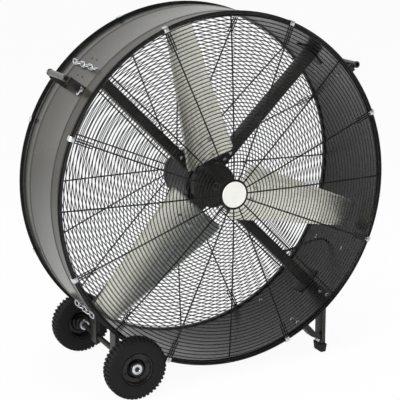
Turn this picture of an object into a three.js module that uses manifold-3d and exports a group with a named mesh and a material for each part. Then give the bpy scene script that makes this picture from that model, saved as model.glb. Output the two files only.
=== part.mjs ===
// A 42 inch drum fan on two wheels and two rubber feet.
// Millimetres, +Z up, the fan blows towards -Y. The origin is on the floor, under the middle of the drum.
// Most shapes are drawn about the fan's own axis, and the whole group is then lifted to its height.

import * as THREE from 'three';
import { mergeVertices } from 'three/addons/utils/BufferGeometryUtils.js';
import Module from 'manifold-3d';

const wasm = await Module();
wasm.setup();

// ---------------------------------------------------------------- driving dimensions

const clearance = 0.3;              // gap that touching pieces keep

const drumRadius = 552;             // outside of the drum's wall
const floorGap = 35;                // drum's rim above the floor
const drumWall = 3;
const drumDepth = 356;
const rimStandOut = 8;              // turned-out rim beyond the wall
const rimFlange = 5;
const grooveDepth = 5;              // rolled groove behind each rim
const grooveStart = 28;             // from the rim's face to where the wall dips
const grooveFloor = 8;
const beadHeight = 2.5;             // pressed bead around the wall
const beadWidth = 12;
const beadPlace = 97;               // each side of the drum's middle
const wallSides = 48;

const guardWire = 4;
const guardDome = 27;               // how far the guard's middle stands ahead of its edge
const guardSpokes = 16;
const guardRings = 5;               // rings outside the middle plate
const guardPlateRadius = 46;
const guardHoleRadius = 5;
const guardOverlap = 4;             // guard's outer wire over the rim
const badgeRadius = 41;
const badgeThickness = 2.5;

const clipCount = 8;
const clipWidth = 15;
const clipThickness = 2.5;
const clipReach = 9;                // over the guard's wire
const clipLeg = 14;                 // along the rim
const clipScrewRadius = 3.5;
const clipScrewHead = 2;

const motorRadius = 78;
const motorFront = -30;
const motorBack = 150;
const motorShell = 4;
const bellDepth = 15;
const bellNoseRadius = 58;
const bellNose = 6;
const statorInner = 45;
const statorLength = 90;
const rotorGap = 0.6;
const rotorLength = 84;
const shaftRadius = 12;
const shaftFront = -86;
const runningGap = 0.3;
const bearingRadius = 26;
const bearingWidth = 14;
const motorSides = 24;

const armCorners = ['upper_right', 'upper_left', 'lower_left', 'lower_right'];
const armFirstAngle = 45;
const armWidth = 32;
const armDepth = 44;
const armFront = -14;
const armSheet = 3;
const armFootLength = 92;           // along the wall
const armFootWidth = 62;            // along the fan axis

const bladeCount = 3;
const bladeFirstAngle = -15.5;
const bladeRoot = 86;
const bladeTipGap = 16;             // blade to the inside of the wall
const bladeSheet = 2.5;
const bladeCamber = 13;
const rootChord = 203;
const tipChord = 90;
const rootPitch = 16.5;
const tipPitch = 6.2;
const pitchEase = 3;                // power with which the twist gathers towards the tip
const rootOffset = -87;             // along the fan axis, middle of the chord
const tipOffset = -76.5;
const rootSweep = -3.5;
const tipSweep = -7;
const bladeStations = 9;
const chordStations = 8;

const hubRadius = 72;
const hubPlate = 9;
const hubBossRadius = 26;
const hubBossFront = -82;
const hubBossBack = -36;
const hubArmEnd = 164;
const hubArmWidth = 48;
const hubArmSheet = 5;

const axleStandOff = 53.6;          // axle outside the drum's wall
const wheelY = 230;
const tyreRadius = 98;
const tyreWidth = 50;
const tyreCrown = 3;
const tyreShoulder = 84;
const rimSeat = 50;
const wheelDish = 22;               // recess of the wheel's disc
const wheelDisc = 5;
const wheelHubRadius = 22;
const wheelBearingRadius = 16.5;
const wheelBearingWidth = 11;
const wheelHubInset = 5;            // hub's ends inside the tyre's width
const barrelInset = 3;
const barrelSheet = 4;
const bearingPlay = 1;
const axlePlay = 2;                 // hub around the axle behind the bearing
const shoulderGap = 6;
const axleRadius = 9;
const axleStub = 7.5;               // radius inside the bearings
const axleEnd = 248;
const collarRadius = 16;
const collarWidth = 12;
const wheelSides = 28;
const smallSides = 16;

const sectionWeb = 45;              // steel channel of legs and posts
const sectionFlange = 14;
const sectionSheet = 3;
const postY = 83;
const postFoot = 78;                // bottom of a post above the floor
const legAngle = -48.6;             // where a leg's web meets the wall
const legFrontY = -122;
const legRearY = 134;
const legFlangeLength = 66;         // plate that the leg is bolted to the wall with
const legFlangeRise = 36;
const footHeight = 29;
const footGrip = 21;                // how far the leg goes into its rubber foot
const footWall = 4;
const footTaper = 4;
const braceWidth = 20;
const braceSheet = 4;
const braceBolt = 42;               // lower end of a leg's brace above the floor
const braceDepth = 36;              // bolt tab along the fan axis
const braceAngle = -60;             // where it meets the wall

const handleAngleRight = 34.9;
const handleAngleLeft = 142.7;
const handleFront = -83;            // middle of the front riser along the fan axis
const handleLength = 146;           // from one riser to the other
const handleStandOff = 71;          // wall to the bar's outside
const handleBar = 12;
const handleSheet = 6;
const handleFoot = 30;
const riserWidth = 26;
const riserHeight = 56;             // a neck as wide as the bar goes on from there
const gripRadius = 9.5;
const gripFlange = 11.5;
const gripFlangeWidth = 4;
const gripEnd = 9;                  // grip's front end ahead of the front riser
const gripGap = 13;                 // grip's back end to the rear riser

const linkWire = 2.25;              // the quick link's wire, a radius
const linkLength = 29;
const linkWidth = 17;
const linkInset = 7;                // hole to the riser's edge
const linkPlay = 3.1;

const chainWire = 4.5;
const chainPitch = 32;
const chainLinkWidth = 19;
const chainBite = 1.8;              // a link into the next one
const upperChainLinks = 6;
const lowerChainLinks = 5;
const upperChainAngle = 135;
const lowerChainAngle = 222;
const upperChainY = 6;
const lowerChainY = 8;

const boxAngle = -29;               // control box around the drum
const boxLength = 190;
const boxWidth = 92;
const boxDepth = 54;
const boxWall = 2.5;
const knobRadius = 19;
const knobLength = 17;
const knobStem = 4;
const switchSize = 30;
const switchDepth = 24;
const capacitorRadius = 19;
const capacitorLength = 76;
const glandRadius = 12;
const glandNeck = 8;
const glandBore = 5;
const glandLength = 20;
const leadRadius = 4;
const leadSides = 4;                // per half turn
const leadHolePlay = 1.6;

// ---------------------------------------------------------------- values that follow from them

const drumInner = drumRadius - drumWall;
const rimRadius = drumRadius + rimStandOut;
const bladeTip = drumInner - bladeTipGap;
const halfDepth = drumDepth / 2;
const axisHeight = rimRadius + floorGap;
const wallEnd = halfDepth - grooveStart;
const floorZ = -axisHeight;
const axleZ = floorZ + tyreRadius;
const wheelX = -Math.sqrt((drumRadius + axleStandOff) ** 2 - axleZ ** 2);
const legX = drumRadius * Math.cos(THREE.MathUtils.degToRad(legAngle));
const guardRadius = rimRadius - guardOverlap;

const steel = { color: 0x2b2b29, roughness: 0.5, metalness: 0.5 };
const darkSteel = { color: 0x1a1a19, roughness: 0.5, metalness: 0.5 };
const wire = { color: 0x111111, roughness: 0.45, metalness: 0.4 };
const zinc = { color: 0xc9cdd0, roughness: 0.35, metalness: 0.9 };
const bladeMetal = { color: 0xcfcdbd, roughness: 0.4, metalness: 0.6 };
const rubber = { color: 0x161616, roughness: 0.85, metalness: 0 };
const plastic = { color: 0x1c1c1c, roughness: 0.55, metalness: 0 };
const badgeWhite = { color: 0xe6e6e0, roughness: 0.5, metalness: 0.1 };
const ironCore = { color: 0x6f6a62, roughness: 0.6, metalness: 0.7 };

const fan = new THREE.Group();
fan.position.z = axisHeight;

function addPiece(name, geometry, finish, parent = fan) {
  const mesh = new THREE.Mesh(geometry, new THREE.MeshStandardMaterial(finish));
  mesh.name = name;
  parent.add(mesh);
  return mesh;
}

// ---------------------------------------------------------------- solids, joins and cuts

const radians = THREE.MathUtils.degToRad;

function signedVolume(geometry) {
  const point = geometry.attributes.position;
  const corner = geometry.index.array;
  const a = new THREE.Vector3();
  const b = new THREE.Vector3();
  const c = new THREE.Vector3();
  let sum = 0;
  for (let i = 0; i < corner.length; i += 3) {
    a.fromBufferAttribute(point, corner[i]);
    b.fromBufferAttribute(point, corner[i + 1]);
    c.fromBufferAttribute(point, corner[i + 2]);
    sum += a.dot(b.cross(c));
  }
  return sum / 6;
}

// Merges the shared corners, drops flat triangles and turns the faces outwards.
function closed(source) {
  const bare = source.index ? source.clone() : source;
  bare.deleteAttribute('normal');
  bare.deleteAttribute('uv');
  bare.clearGroups();
  const merged = mergeVertices(bare, 1e-3);
  const corner = merged.index.array;
  const kept = [];
  for (let i = 0; i < corner.length; i += 3) {
    const [a, b, c] = [corner[i], corner[i + 1], corner[i + 2]];
    if (a !== b && b !== c && c !== a) kept.push(a, b, c);
  }
  merged.setIndex(kept);
  if (signedVolume(merged) < 0) {
    for (let i = 0; i < kept.length; i += 3) [kept[i + 1], kept[i + 2]] = [kept[i + 2], kept[i + 1]];
    merged.setIndex(kept);
  }
  return merged;
}

function solidOf(geometry) {
  const shape = closed(geometry);
  return new wasm.Manifold(new wasm.Mesh({
    numProp: 3,
    vertProperties: new Float32Array(shape.attributes.position.array),
    triVerts: new Uint32Array(shape.index.array),
  }));
}

function geometryOf(solid) {
  const mesh = solid.getMesh();
  const geometry = new THREE.BufferGeometry();
  geometry.setAttribute('position', new THREE.BufferAttribute(new Float32Array(mesh.vertProperties), 3));
  geometry.setIndex(new THREE.BufferAttribute(new Uint32Array(mesh.triVerts), 1));
  return geometry;
}

function join(...parts) {
  return geometryOf(parts.map(solidOf).reduce((all, next) => all.add(next)));
}

function cut(part, ...tools) {
  return geometryOf(tools.map(solidOf).reduce((left, tool) => left.subtract(tool), solidOf(part)));
}

function common(part, other) {
  return geometryOf(solidOf(part).intersect(solidOf(other)));
}

function block(x0, x1, y0, y1, z0, z1) {
  const box = new THREE.BoxGeometry(x1 - x0, y1 - y0, z1 - z0);
  return box.translate((x0 + x1) / 2, (y0 + y1) / 2, (z0 + z1) / 2);
}

// A profile of [radius, along] pairs turned about the fan axis. It closes on itself unless open is set,
// and an open profile starts and ends on the axis.
function turned(profile, sides, open = false) {
  const points = profile.map(([r, y]) => new THREE.Vector2(r, y));
  if (!open) points.push(points[0].clone());
  return closed(new THREE.LatheGeometry(points, sides, Math.PI / 2));
}

function rod(radius, y0, y1, sides) {
  return turned([[0, y0], [radius, y0], [radius, y1], [0, y1]], sides, true);
}

function ring(inner, outer, y0, y1, sides) {
  return turned([[inner, y0], [outer, y0], [outer, y1], [inner, y1]], sides);
}

// An outline of [x, z] pairs, drawn out along the fan axis from y0 to y1.
function plateXZ(outline, y0, y1) {
  const shape = new THREE.Shape(outline.map(([x, z]) => new THREE.Vector2(x, z)));
  const plate = new THREE.ExtrudeGeometry(shape, { depth: y1 - y0, bevelEnabled: false });
  return closed(plate.rotateX(Math.PI / 2).translate(0, y1, 0));
}

// Turns a piece drawn on the +X side of the drum to an angle around the fan axis.
function around(angle, geometry) {
  return geometry.rotateY(-radians(angle));
}

// The wall's outside between the grooves, with its beads, standing off by a gap.
function wallOutline(gap) {
  const bead = (middle) => [
    [drumRadius + gap, middle - beadWidth / 2],
    [drumRadius + beadHeight + gap, middle - beadWidth / 4],
    [drumRadius + beadHeight + gap, middle + beadWidth / 4],
    [drumRadius + gap, middle + beadWidth / 2],
  ];
  return [
    [drumRadius + gap, -wallEnd],
    ...bead(-beadPlace),
    ...bead(beadPlace),
    [drumRadius + gap, wallEnd],
  ];
}

// What the drum takes up, with the clearance, for pieces that seat on its outside.
function drumBody() {
  const seat = drumRadius + clearance;
  const seatEnd = wallEnd + grooveFloor;
  return turned([
    [0, -seatEnd],
    [seat, -seatEnd],
    ...wallOutline(clearance),
    [seat, seatEnd],
    [0, seatEnd],
  ], wallSides, true);
}

function wallLining(thickness) {
  const outer = drumInner - clearance;
  return ring(outer - thickness, outer, -halfDepth, halfDepth, wallSides);
}

// ---------------------------------------------------------------- drum

// From the rim's face in to the wall: the flange, the groove and the slope, on the outside of the sheet.
function rimOutline(side) {
  const at = (fromFace) => side * (halfDepth - fromFace);
  const slope = grooveStart - grooveFloor - 2 * rimFlange;
  return [
    [rimRadius, at(0)],
    [rimRadius, at(rimFlange)],
    [drumRadius - grooveDepth, at(2 * rimFlange)],
    [drumRadius - grooveDepth, at(grooveStart - slope)],
  ];
}

function rimLining(side) {
  const at = (fromFace) => side * (halfDepth - fromFace);
  return [
    [drumInner, at(grooveStart)],
    [drumInner - grooveDepth, at(2 * rimFlange + grooveFloor)],
    [drumInner - grooveDepth, at(rimFlange)],
    [drumInner, at(0)],
  ];
}

function drumShell() {
  const shell = turned([
    ...rimLining(-1),
    ...rimOutline(-1),
    ...wallOutline(0),
    ...rimOutline(1).reverse(),
    ...rimLining(1).reverse(),
  ], wallSides);
  return cut(shell, leadHole());
}

// ---------------------------------------------------------------- guards

// Height of the domed guard over the rim's face, at a distance from the fan axis.
function domeAt(radius) {
  return guardDome * (1 - (radius / guardRadius) ** 2);
}

// The guard is a plate with polar windows: spokes and rings are kept, the cells between them are open.
function guardLattice() {
  const pitch = (guardRadius - guardPlateRadius) / guardRings;
  const radii = [guardHoleRadius, guardPlateRadius];
  for (let i = 1; i <= guardRings; i++) {
    const outer = guardPlateRadius + i * pitch;
    radii.push(outer - guardWire, outer);
  }
  const cellsPerSpoke = 3;                 // the spoke itself and two cells of the window after it
  const columns = guardSpokes * cellsPerSpoke;
  const spokeStep = 2 * Math.PI / guardSpokes;
  const isSolid = (row, column) => row % 2 === 0 || column % cellsPerSpoke === 0;
  const angleAt = (column, radius) => {
    const half = Math.asin(guardWire / 2 / Math.max(radius, guardWire));
    const offset = [-half, half, spokeStep / 2][column % cellsPerSpoke];
    return Math.floor(column / cellsPerSpoke) * spokeStep + offset;
  };
  const vertices = [];
  const triangles = [];
  for (const radius of radii) {
    for (let column = 0; column < columns; column++) {
      const angle = angleAt(column, radius);
      const [x, z] = [radius * Math.cos(angle), radius * Math.sin(angle)];
      const seat = -halfDepth - clearance - domeAt(radius);
      vertices.push(x, seat, z, x, seat - guardWire, z);
    }
  }
  const at = (row, column, front) => 2 * (row * columns + (column + columns) % columns) + front;
  const quad = (a, b, c, d) => triangles.push(a, b, c, a, c, d);
  const rows = radii.length - 1;
  const filled = (row, column) => row >= 0 && row < rows && isSolid(row, (column + columns) % columns);
  for (let row = 0; row < rows; row++) {
    for (let column = 0; column < columns; column++) {
      if (!filled(row, column)) continue;
      const next = column + 1;
      quad(at(row, column, 0), at(row, next, 0), at(row + 1, next, 0), at(row + 1, column, 0));
      quad(at(row, column, 1), at(row + 1, column, 1), at(row + 1, next, 1), at(row, next, 1));
      if (!filled(row - 1, column)) {
        quad(at(row, column, 0), at(row, column, 1), at(row, next, 1), at(row, next, 0));
      }
      if (!filled(row + 1, column)) {
        quad(at(row + 1, column, 0), at(row + 1, next, 0), at(row + 1, next, 1), at(row + 1, column, 1));
      }
      if (!filled(row, column - 1)) {
        quad(at(row, column, 0), at(row + 1, column, 0), at(row + 1, column, 1), at(row, column, 1));
      }
      if (!filled(row, column + 1)) {
        quad(at(row, next, 0), at(row, next, 1), at(row + 1, next, 1), at(row + 1, next, 0));
      }
    }
  }
  const geometry = new THREE.BufferGeometry();
  geometry.setAttribute('position', new THREE.Float32BufferAttribute(vertices, 3));
  geometry.setIndex(triangles);
  return closed(geometry);
}

// A bent clip: one face over the guard's outer wire, one leg down the outside of the rim, and its screw.
function guardClip(gap) {
  const seat = -halfDepth - clearance - domeAt(guardRadius - clipReach) - guardWire - gap;
  const legInner = rimRadius + clearance;
  const legOuter = legInner + clipThickness;
  const half = clipWidth / 2;
  const front = seat - clipThickness;
  const face = block(guardRadius - clipReach, legOuter, front, seat, -half, half);
  const leg = block(legInner, legOuter, front, seat + clipLeg, -half, half);
  const screwSides = 8;
  const screw = rod(clipScrewRadius, front - clipScrewHead, seat - clipThickness / 2, screwSides);
  return join(face, leg, screw.translate(guardRadius, 0, 0));
}

function clipAngle(index) {
  return (index + 0.5) * 360 / clipCount;
}

function addGuards() {
  addPiece('front_grille', guardLattice(), wire);
  for (let i = 0; i < clipCount; i++) {
    addPiece(`grille_clip_${i + 1}`, around(clipAngle(i), guardClip(clearance)), zinc);
  }
  const bite = 0.5;                        // rear clips are one solid with the guard they hold
  const rearParts = [guardLattice()];
  for (let i = 0; i < clipCount; i++) {
    rearParts.push(around(clipAngle(i), guardClip(-bite)));
  }
  addPiece('rear_grille', join(...rearParts).rotateZ(Math.PI), wire);
  const badgeSeat = -halfDepth - clearance - domeAt(guardHoleRadius) - guardWire - clearance;
  addPiece('badge_disc', rod(badgeRadius, badgeSeat - badgeThickness, badgeSeat, wheelSides), badgeWhite);
}

// ---------------------------------------------------------------- motor and its arms

function channelArm() {
  const half = armWidth / 2;
  const back = armFront + armDepth;
  const reach = drumRadius;
  const web = block(0, reach, armFront, armFront + armSheet, -half, half);
  const lower = block(0, reach, armFront, back, -half, -half + armSheet);
  const upper = block(0, reach, armFront, back, half - armSheet, half);
  const footMiddle = armFront + armDepth / 2;
  const footBlock = block(
    drumInner / 2, reach, footMiddle - armFootWidth / 2, footMiddle + armFootWidth / 2,
    -armFootLength / 2, armFootLength / 2,
  );
  return { channel: join(web, lower, upper), foot: footBlock };
}

function motorArm(angle) {
  const { channel, foot } = channelArm();
  const bore = rod(drumInner - clearance, -halfDepth, halfDepth, wallSides);
  const motor = rod(motorRadius + clearance, motorFront - bellDepth, motorBack + bellDepth, motorSides);
  const trimmed = cut(common(around(angle, channel), bore), motor);
  return join(trimmed, common(around(angle, foot), wallLining(armSheet)));
}

function addMotor() {
  const shellFront = motorFront + bellDepth + clearance;
  const shellBack = motorBack - bellDepth - clearance;
  const shellInner = motorRadius - motorShell;
  addPiece('motor_housing', ring(shellInner, motorRadius, shellFront, shellBack, motorSides), darkSteel);

  const bore = shaftRadius + runningGap;
  const pocket = bearingRadius + clearance;
  const frontJoint = motorFront + bellDepth;
  const frontPocket = motorFront + 2;
  addPiece('motor_front_bell', turned([
    [pocket, frontJoint],
    [motorRadius, frontJoint],
    [motorRadius, motorFront + bellNose],
    [bellNoseRadius, motorFront],
    [bore, motorFront],
    [bore, frontPocket],
    [pocket, frontPocket],
  ], motorSides), darkSteel);
  const backJoint = motorBack - bellDepth;
  const backPocket = motorBack - 6;
  addPiece('motor_rear_bell', turned([
    [0, backPocket],
    [pocket, backPocket],
    [pocket, backJoint],
    [motorRadius, backJoint],
    [motorRadius, motorBack - bellNose],
    [bellNoseRadius, motorBack],
    [0, motorBack],
  ], motorSides, true), darkSteel);

  const bearing = (front) => ring(bore, bearingRadius, front, front + bearingWidth, motorSides);
  const frontBearing = frontPocket + clearance;
  const backBearing = backPocket - clearance - bearingWidth;
  addPiece('motor_bearing_front', bearing(frontBearing), zinc);
  addPiece('motor_bearing_rear', bearing(backBearing), zinc);

  const middle = (shellFront + shellBack) / 2;
  const statorOuter = shellInner - clearance;
  addPiece('motor_stator', ring(
    statorInner, statorOuter, middle - statorLength / 2, middle + statorLength / 2, motorSides,
  ), ironCore);
  const core = statorInner - rotorGap;
  addPiece('motor_rotor', turned([
    [0, shaftFront],
    [shaftRadius, shaftFront],
    [shaftRadius, middle - rotorLength / 2],
    [core, middle - rotorLength / 2],
    [core, middle + rotorLength / 2],
    [shaftRadius, middle + rotorLength / 2],
    [shaftRadius, backPocket - clearance],
    [0, backPocket - clearance],
  ], motorSides, true), ironCore);

  armCorners.forEach((corner, i) => {
    addPiece(`motor_arm_${corner}`, motorArm(armFirstAngle + i * 360 / armCorners.length), steel);
  });
}

// ---------------------------------------------------------------- blades and hub

const mix = THREE.MathUtils.lerp;

// The line of the blade at a share of its length: where its chord's middle lies, how long it is, its pitch.
function bladeLine(share) {
  return {
    radius: mix(bladeRoot, bladeTip, share),
    chord: mix(rootChord, tipChord, share),
    pitch: radians(mix(rootPitch, tipPitch, share ** pitchEase)),
    sweep: mix(rootSweep, tipSweep, share),
    offset: mix(rootOffset, tipOffset, share),
    camber: bladeCamber * mix(1, tipChord / rootChord, share),
  };
}

// A point of the blade: across runs from -1 to 1 over the chord, depth moves it through the sheet.
function bladePoint(share, across, depth) {
  const line = bladeLine(share);
  const along = across * line.chord / 2;
  const back = line.camber * (1 - across * across) + depth;
  const x = line.radius;
  const y = line.offset - along * Math.sin(line.pitch) + back * Math.cos(line.pitch);
  const z = line.sweep + along * Math.cos(line.pitch) + back * Math.sin(line.pitch);
  return [x, y, z];
}

function bladeSkin() {
  const vertices = [];
  const triangles = [];
  for (let i = 0; i < bladeStations; i++) {
    for (let j = 0; j < chordStations; j++) {
      const share = i / (bladeStations - 1);
      const across = 2 * j / (chordStations - 1) - 1;
      vertices.push(...bladePoint(share, across, -bladeSheet / 2));
      vertices.push(...bladePoint(share, across, bladeSheet / 2));
    }
  }
  const at = (i, j, back) => 2 * (i * chordStations + j) + back;
  const quad = (a, b, c, d) => triangles.push(a, b, c, a, c, d);
  const lastI = bladeStations - 1;
  const lastJ = chordStations - 1;
  for (let i = 0; i < lastI; i++) {
    for (let j = 0; j < lastJ; j++) {
      quad(at(i, j, 0), at(i + 1, j, 0), at(i + 1, j + 1, 0), at(i, j + 1, 0));
      quad(at(i, j, 1), at(i, j + 1, 1), at(i + 1, j + 1, 1), at(i + 1, j, 1));
    }
    quad(at(i, 0, 0), at(i, 0, 1), at(i + 1, 0, 1), at(i + 1, 0, 0));
    quad(at(i, lastJ, 0), at(i + 1, lastJ, 0), at(i + 1, lastJ, 1), at(i, lastJ, 1));
  }
  for (let j = 0; j < lastJ; j++) {
    quad(at(0, j, 0), at(0, j + 1, 0), at(0, j + 1, 1), at(0, j, 1));
    quad(at(lastI, j, 0), at(lastI, j, 1), at(lastI, j + 1, 1), at(lastI, j + 1, 0));
  }
  const geometry = new THREE.BufferGeometry();
  geometry.setAttribute('position', new THREE.Float32BufferAttribute(vertices, 3));
  geometry.setIndex(triangles);
  return closed(geometry);
}

// The arm lies just behind the blade's root, turned to the same pitch.
function hubArm() {
  const share = (hubArmEnd - bladeRoot) / (bladeTip - bladeRoot);
  const line = bladeLine(share);
  const front = line.camber + bladeSheet / 2 + clearance;
  const arm = block(0, hubArmEnd, front, front + hubArmSheet, -hubArmWidth / 2, hubArmWidth / 2);
  return arm.rotateX(line.pitch).translate(0, line.offset, line.sweep);
}

function bladeHub() {
  const line = bladeLine(0);
  const plateFront = line.offset + line.camber;
  const plate = rod(hubRadius, plateFront, plateFront + hubPlate + hubArmSheet, motorSides);
  const boss = rod(hubBossRadius, hubBossFront, hubBossBack, motorSides);
  const arms = bladeAngles().map((angle) => around(angle, hubArm()));
  const bore = rod(shaftRadius + clearance, shaftFront, motorFront, motorSides);
  return cut(join(plate, boss, ...arms), bore);
}

function bladeAngles() {
  return Array.from({ length: bladeCount }, (_, i) => bladeFirstAngle + i * 360 / bladeCount);
}

function addRotor() {
  addPiece('blade_hub', bladeHub(), darkSteel);
  bladeAngles().forEach((angle, i) => addPiece(`blade_${i + 1}`, around(angle, bladeSkin()), bladeMetal));
}

// ---------------------------------------------------------------- wheels and axle

function tyre() {
  const half = tyreWidth / 2;
  const seat = rimSeat + clearance;
  return turned([
    [seat, -half + 6],
    [rimSeat + 8, -half + 1],
    [(rimSeat + tyreShoulder) / 2, -half],
    [tyreShoulder, -half + 2],
    [tyreRadius - tyreCrown, -half + 9],
    [tyreRadius, -half / 3],
    [tyreRadius, half / 3],
    [tyreRadius - tyreCrown, half - 9],
    [tyreShoulder, half - 2],
    [(rimSeat + tyreShoulder) / 2, half],
    [rimSeat + 8, half - 1],
    [seat, half - 6],
  ], wheelSides);
}

// A pressed wheel: a barrel under the tyre, a recessed disc and a hub that holds the bearing.
// The dish faces -Y.
function wheelRim() {
  const half = tyreWidth / 2;
  const bite = 1;
  const barrelEnd = half - barrelInset;
  const hubEnd = half - wheelHubInset;
  const barrel = ring(rimSeat - barrelSheet, rimSeat, -barrelEnd, barrelEnd, wheelSides);
  const discFront = -half + wheelDish;
  const disc = ring(wheelHubRadius - bite, rimSeat - bite, discFront, discFront + wheelDisc, wheelSides);
  const hub = ring(wheelBearingRadius + clearance, wheelHubRadius, -hubEnd, hubEnd, smallSides);
  const behindBearing = -hubEnd + wheelBearingWidth + bearingPlay;
  const stop = ring(axleRadius + axlePlay, wheelHubRadius - bite, behindBearing, hubEnd, smallSides);
  return join(barrel, disc, hub, stop);
}

function wheelBearing() {
  const front = -tyreWidth / 2 + wheelHubInset;
  return ring(axleStub + clearance, wheelBearingRadius, front, front + wheelBearingWidth, smallSides);
}

function axle() {
  const shoulder = wheelY - tyreWidth / 2 + wheelHubInset + wheelBearingWidth + shoulderGap;
  return turned([
    [0, -axleEnd],
    [axleStub, -axleEnd],
    [axleStub, -shoulder],
    [axleRadius, -shoulder],
    [axleRadius, shoulder],
    [axleStub, shoulder],
    [axleStub, axleEnd],
    [0, axleEnd],
  ], smallSides, true);
}

function addWheels() {
  for (const [side, turn] of [['front', 0], ['rear', Math.PI]]) {
    const place = (geometry) => geometry.translate(0, -wheelY, 0).rotateZ(turn).translate(wheelX, 0, axleZ);
    addPiece(`tyre_${side}`, place(tyre()), rubber);
    addPiece(`wheel_rim_${side}`, place(wheelRim()), darkSteel);
    addPiece(`wheel_bearing_${side}`, place(wheelBearing()), zinc);
    const collarY = tyreWidth / 2 + collarWidth / 2 + 1;
    const collar = ring(
      axleRadius + clearance, collarRadius, collarY - collarWidth / 2, collarY + collarWidth / 2, smallSides,
    );
    addPiece(`axle_collar_${side}`, place(collar), zinc);
  }
  addPiece('axle', axle().translate(wheelX, 0, axleZ), steel);
}

// ---------------------------------------------------------------- posts, legs, braces and feet

// A channel standing on end: its web faces -X at x = 0, its flanges run towards +X.
function channelPost(middleY, bottom, top) {
  const half = sectionWeb / 2;
  const web = block(0, sectionSheet, middleY - half, middleY + half, bottom, top);
  const near = block(0, sectionFlange, middleY - half, middleY - half + sectionSheet, bottom, top);
  const far = block(0, sectionFlange, middleY + half - sectionSheet, middleY + half, bottom, top);
  return join(web, near, far);
}

// The plate at a leg's top that follows the wall and is bolted to it.
function wallTab(angle, middleY, along, acrossY) {
  const outer = drumRadius + beadHeight + sectionSheet;
  const skin = ring(drumRadius, outer, -wallEnd, wallEnd, wallSides);
  const [front, back] = [middleY - acrossY / 2, middleY + acrossY / 2];
  const window = block(drumInner, rimRadius, front, back, -along / 2, along / 2);
  return cut(common(skin, around(angle, window)), drumBody());
}

function wallAngle(x) {
  return -THREE.MathUtils.radToDeg(Math.acos(x / (drumRadius + clearance)));
}

function addPosts() {
  const webX = wheelX - axleRadius - clearance - sectionSheet;
  for (const [side, y] of [['front', -postY], ['rear', postY]]) {
    const column = channelPost(y, floorZ + postFoot, 0).translate(webX, 0, 0);
    const axleWay = rod(axleRadius + clearance, -axleEnd, axleEnd, smallSides).translate(wheelX, 0, axleZ);
    const tab = wallTab(wallAngle(webX), y, legFlangeRise, legFlangeLength);
    addPiece(`axle_post_${side}`, join(cut(column, drumBody(), axleWay), tab), steel);
  }
}

function addLegs() {
  for (const [side, y] of [['front', legFrontY], ['rear', legRearY]]) {
    const bottom = floorZ + footHeight - footGrip;
    const column = channelPost(y, bottom, 0).translate(legX, 0, 0);
    const tab = wallTab(wallAngle(legX + sectionFlange / 2), y, legFlangeRise, legFlangeLength);
    addPiece(`leg_${side}`, join(cut(column, drumBody()), tab), steel);
    addPiece(`leg_brace_${side}`, legBrace(y), steel);
    addPiece(`rubber_foot_${side}`, rubberFoot().translate(legX + sectionFlange / 2, y, floorZ), rubber);
  }
}

// Thickens a bent line of [x, z] pairs to its left into a strip's outline.
function stripOutline(line, width) {
  const sides = line.map(([x, z], i) => {
    const before = line[Math.max(i - 1, 0)];
    const after = line[Math.min(i + 1, line.length - 1)];
    const [dx, dz] = [after[0] - before[0], after[1] - before[1]];
    const length = Math.hypot(dx, dz);
    return [x - dz / length * width, z + dx / length * width];
  });
  return [...line, ...sides.reverse()];
}

// An angle-section strip from the wall to the leg's web, with a kink on the way.
function legBrace(y) {
  const wallPoint = [
    drumRadius * Math.cos(radians(braceAngle)),
    drumRadius * Math.sin(radians(braceAngle)),
  ];
  const legPoint = [legX - clearance, floorZ + braceBolt];
  const kink = [mix(wallPoint[0], legPoint[0], 0.6), mix(wallPoint[1], legPoint[1], 0.78)];
  const line = [wallPoint, kink, legPoint];
  const front = y - braceDepth / 2;
  const face = plateXZ(stripOutline(line, braceWidth), front, front + braceSheet);
  const sole = plateXZ(stripOutline(line, braceSheet), front, front + braceDepth);
  const leg = block(legX - clearance, drumRadius, -halfDepth, halfDepth, floorZ, 0);
  const tab = wallTab(braceAngle, y, legFlangeRise, legFlangeLength);
  return join(cut(join(face, sole), drumBody(), leg), tab);
}

// A boot of rubber, drawn about the leg's own section, tapering downwards.
function rubberFoot() {
  const inX = sectionFlange / 2 + clearance;
  const inY = sectionWeb / 2 + clearance;
  const topX = inX + footWall;
  const topY = inY + footWall;
  const boot = new THREE.BoxGeometry(2 * topX, 2 * topY, footHeight);
  const point = boot.attributes.position;
  for (let i = 0; i < point.count; i++) {
    if (point.getZ(i) > 0) continue;
    point.setX(i, point.getX(i) * (topX - footTaper / 2) / topX);
    point.setY(i, point.getY(i) * (topY - footTaper) / topY);
  }
  boot.translate(0, 0, footHeight / 2);
  const socket = block(-inX, inX, -inY, inY, footHeight - footGrip - clearance, footHeight + footGrip);
  return cut(boot, socket);
}

// ---------------------------------------------------------------- handles, link and chains

const handleOutside = drumRadius + handleStandOff;
const handleBack = handleFront + handleLength;
const gripFront = handleFront - gripEnd;
const gripBack = handleBack - gripGap;

// A riser, its neck and its foot, with their middle at y.
function handleRiser(y, play) {
  const wide = riserWidth / 2;
  const narrow = handleBar / 2 + play;
  const thick = handleSheet / 2 + play;
  return join(
    block(drumInner, drumRadius + riserHeight, y - thick, y + thick, -wide, wide),
    block(drumInner, handleOutside + play, y - thick, y + thick, -narrow, narrow),
    block(drumInner, drumRadius + handleSheet, y - handleFoot / 2, y + handleFoot / 2, -wide, wide),
  );
}

function handleFrame() {
  const [half, overhang] = [handleBar / 2, handleSheet / 2];
  const bar = block(
    handleOutside - handleSheet, handleOutside, handleFront - overhang, handleBack + overhang, -half, half,
  );
  return join(bar, handleRiser(handleFront, 0), handleRiser(handleBack, 0));
}

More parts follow.
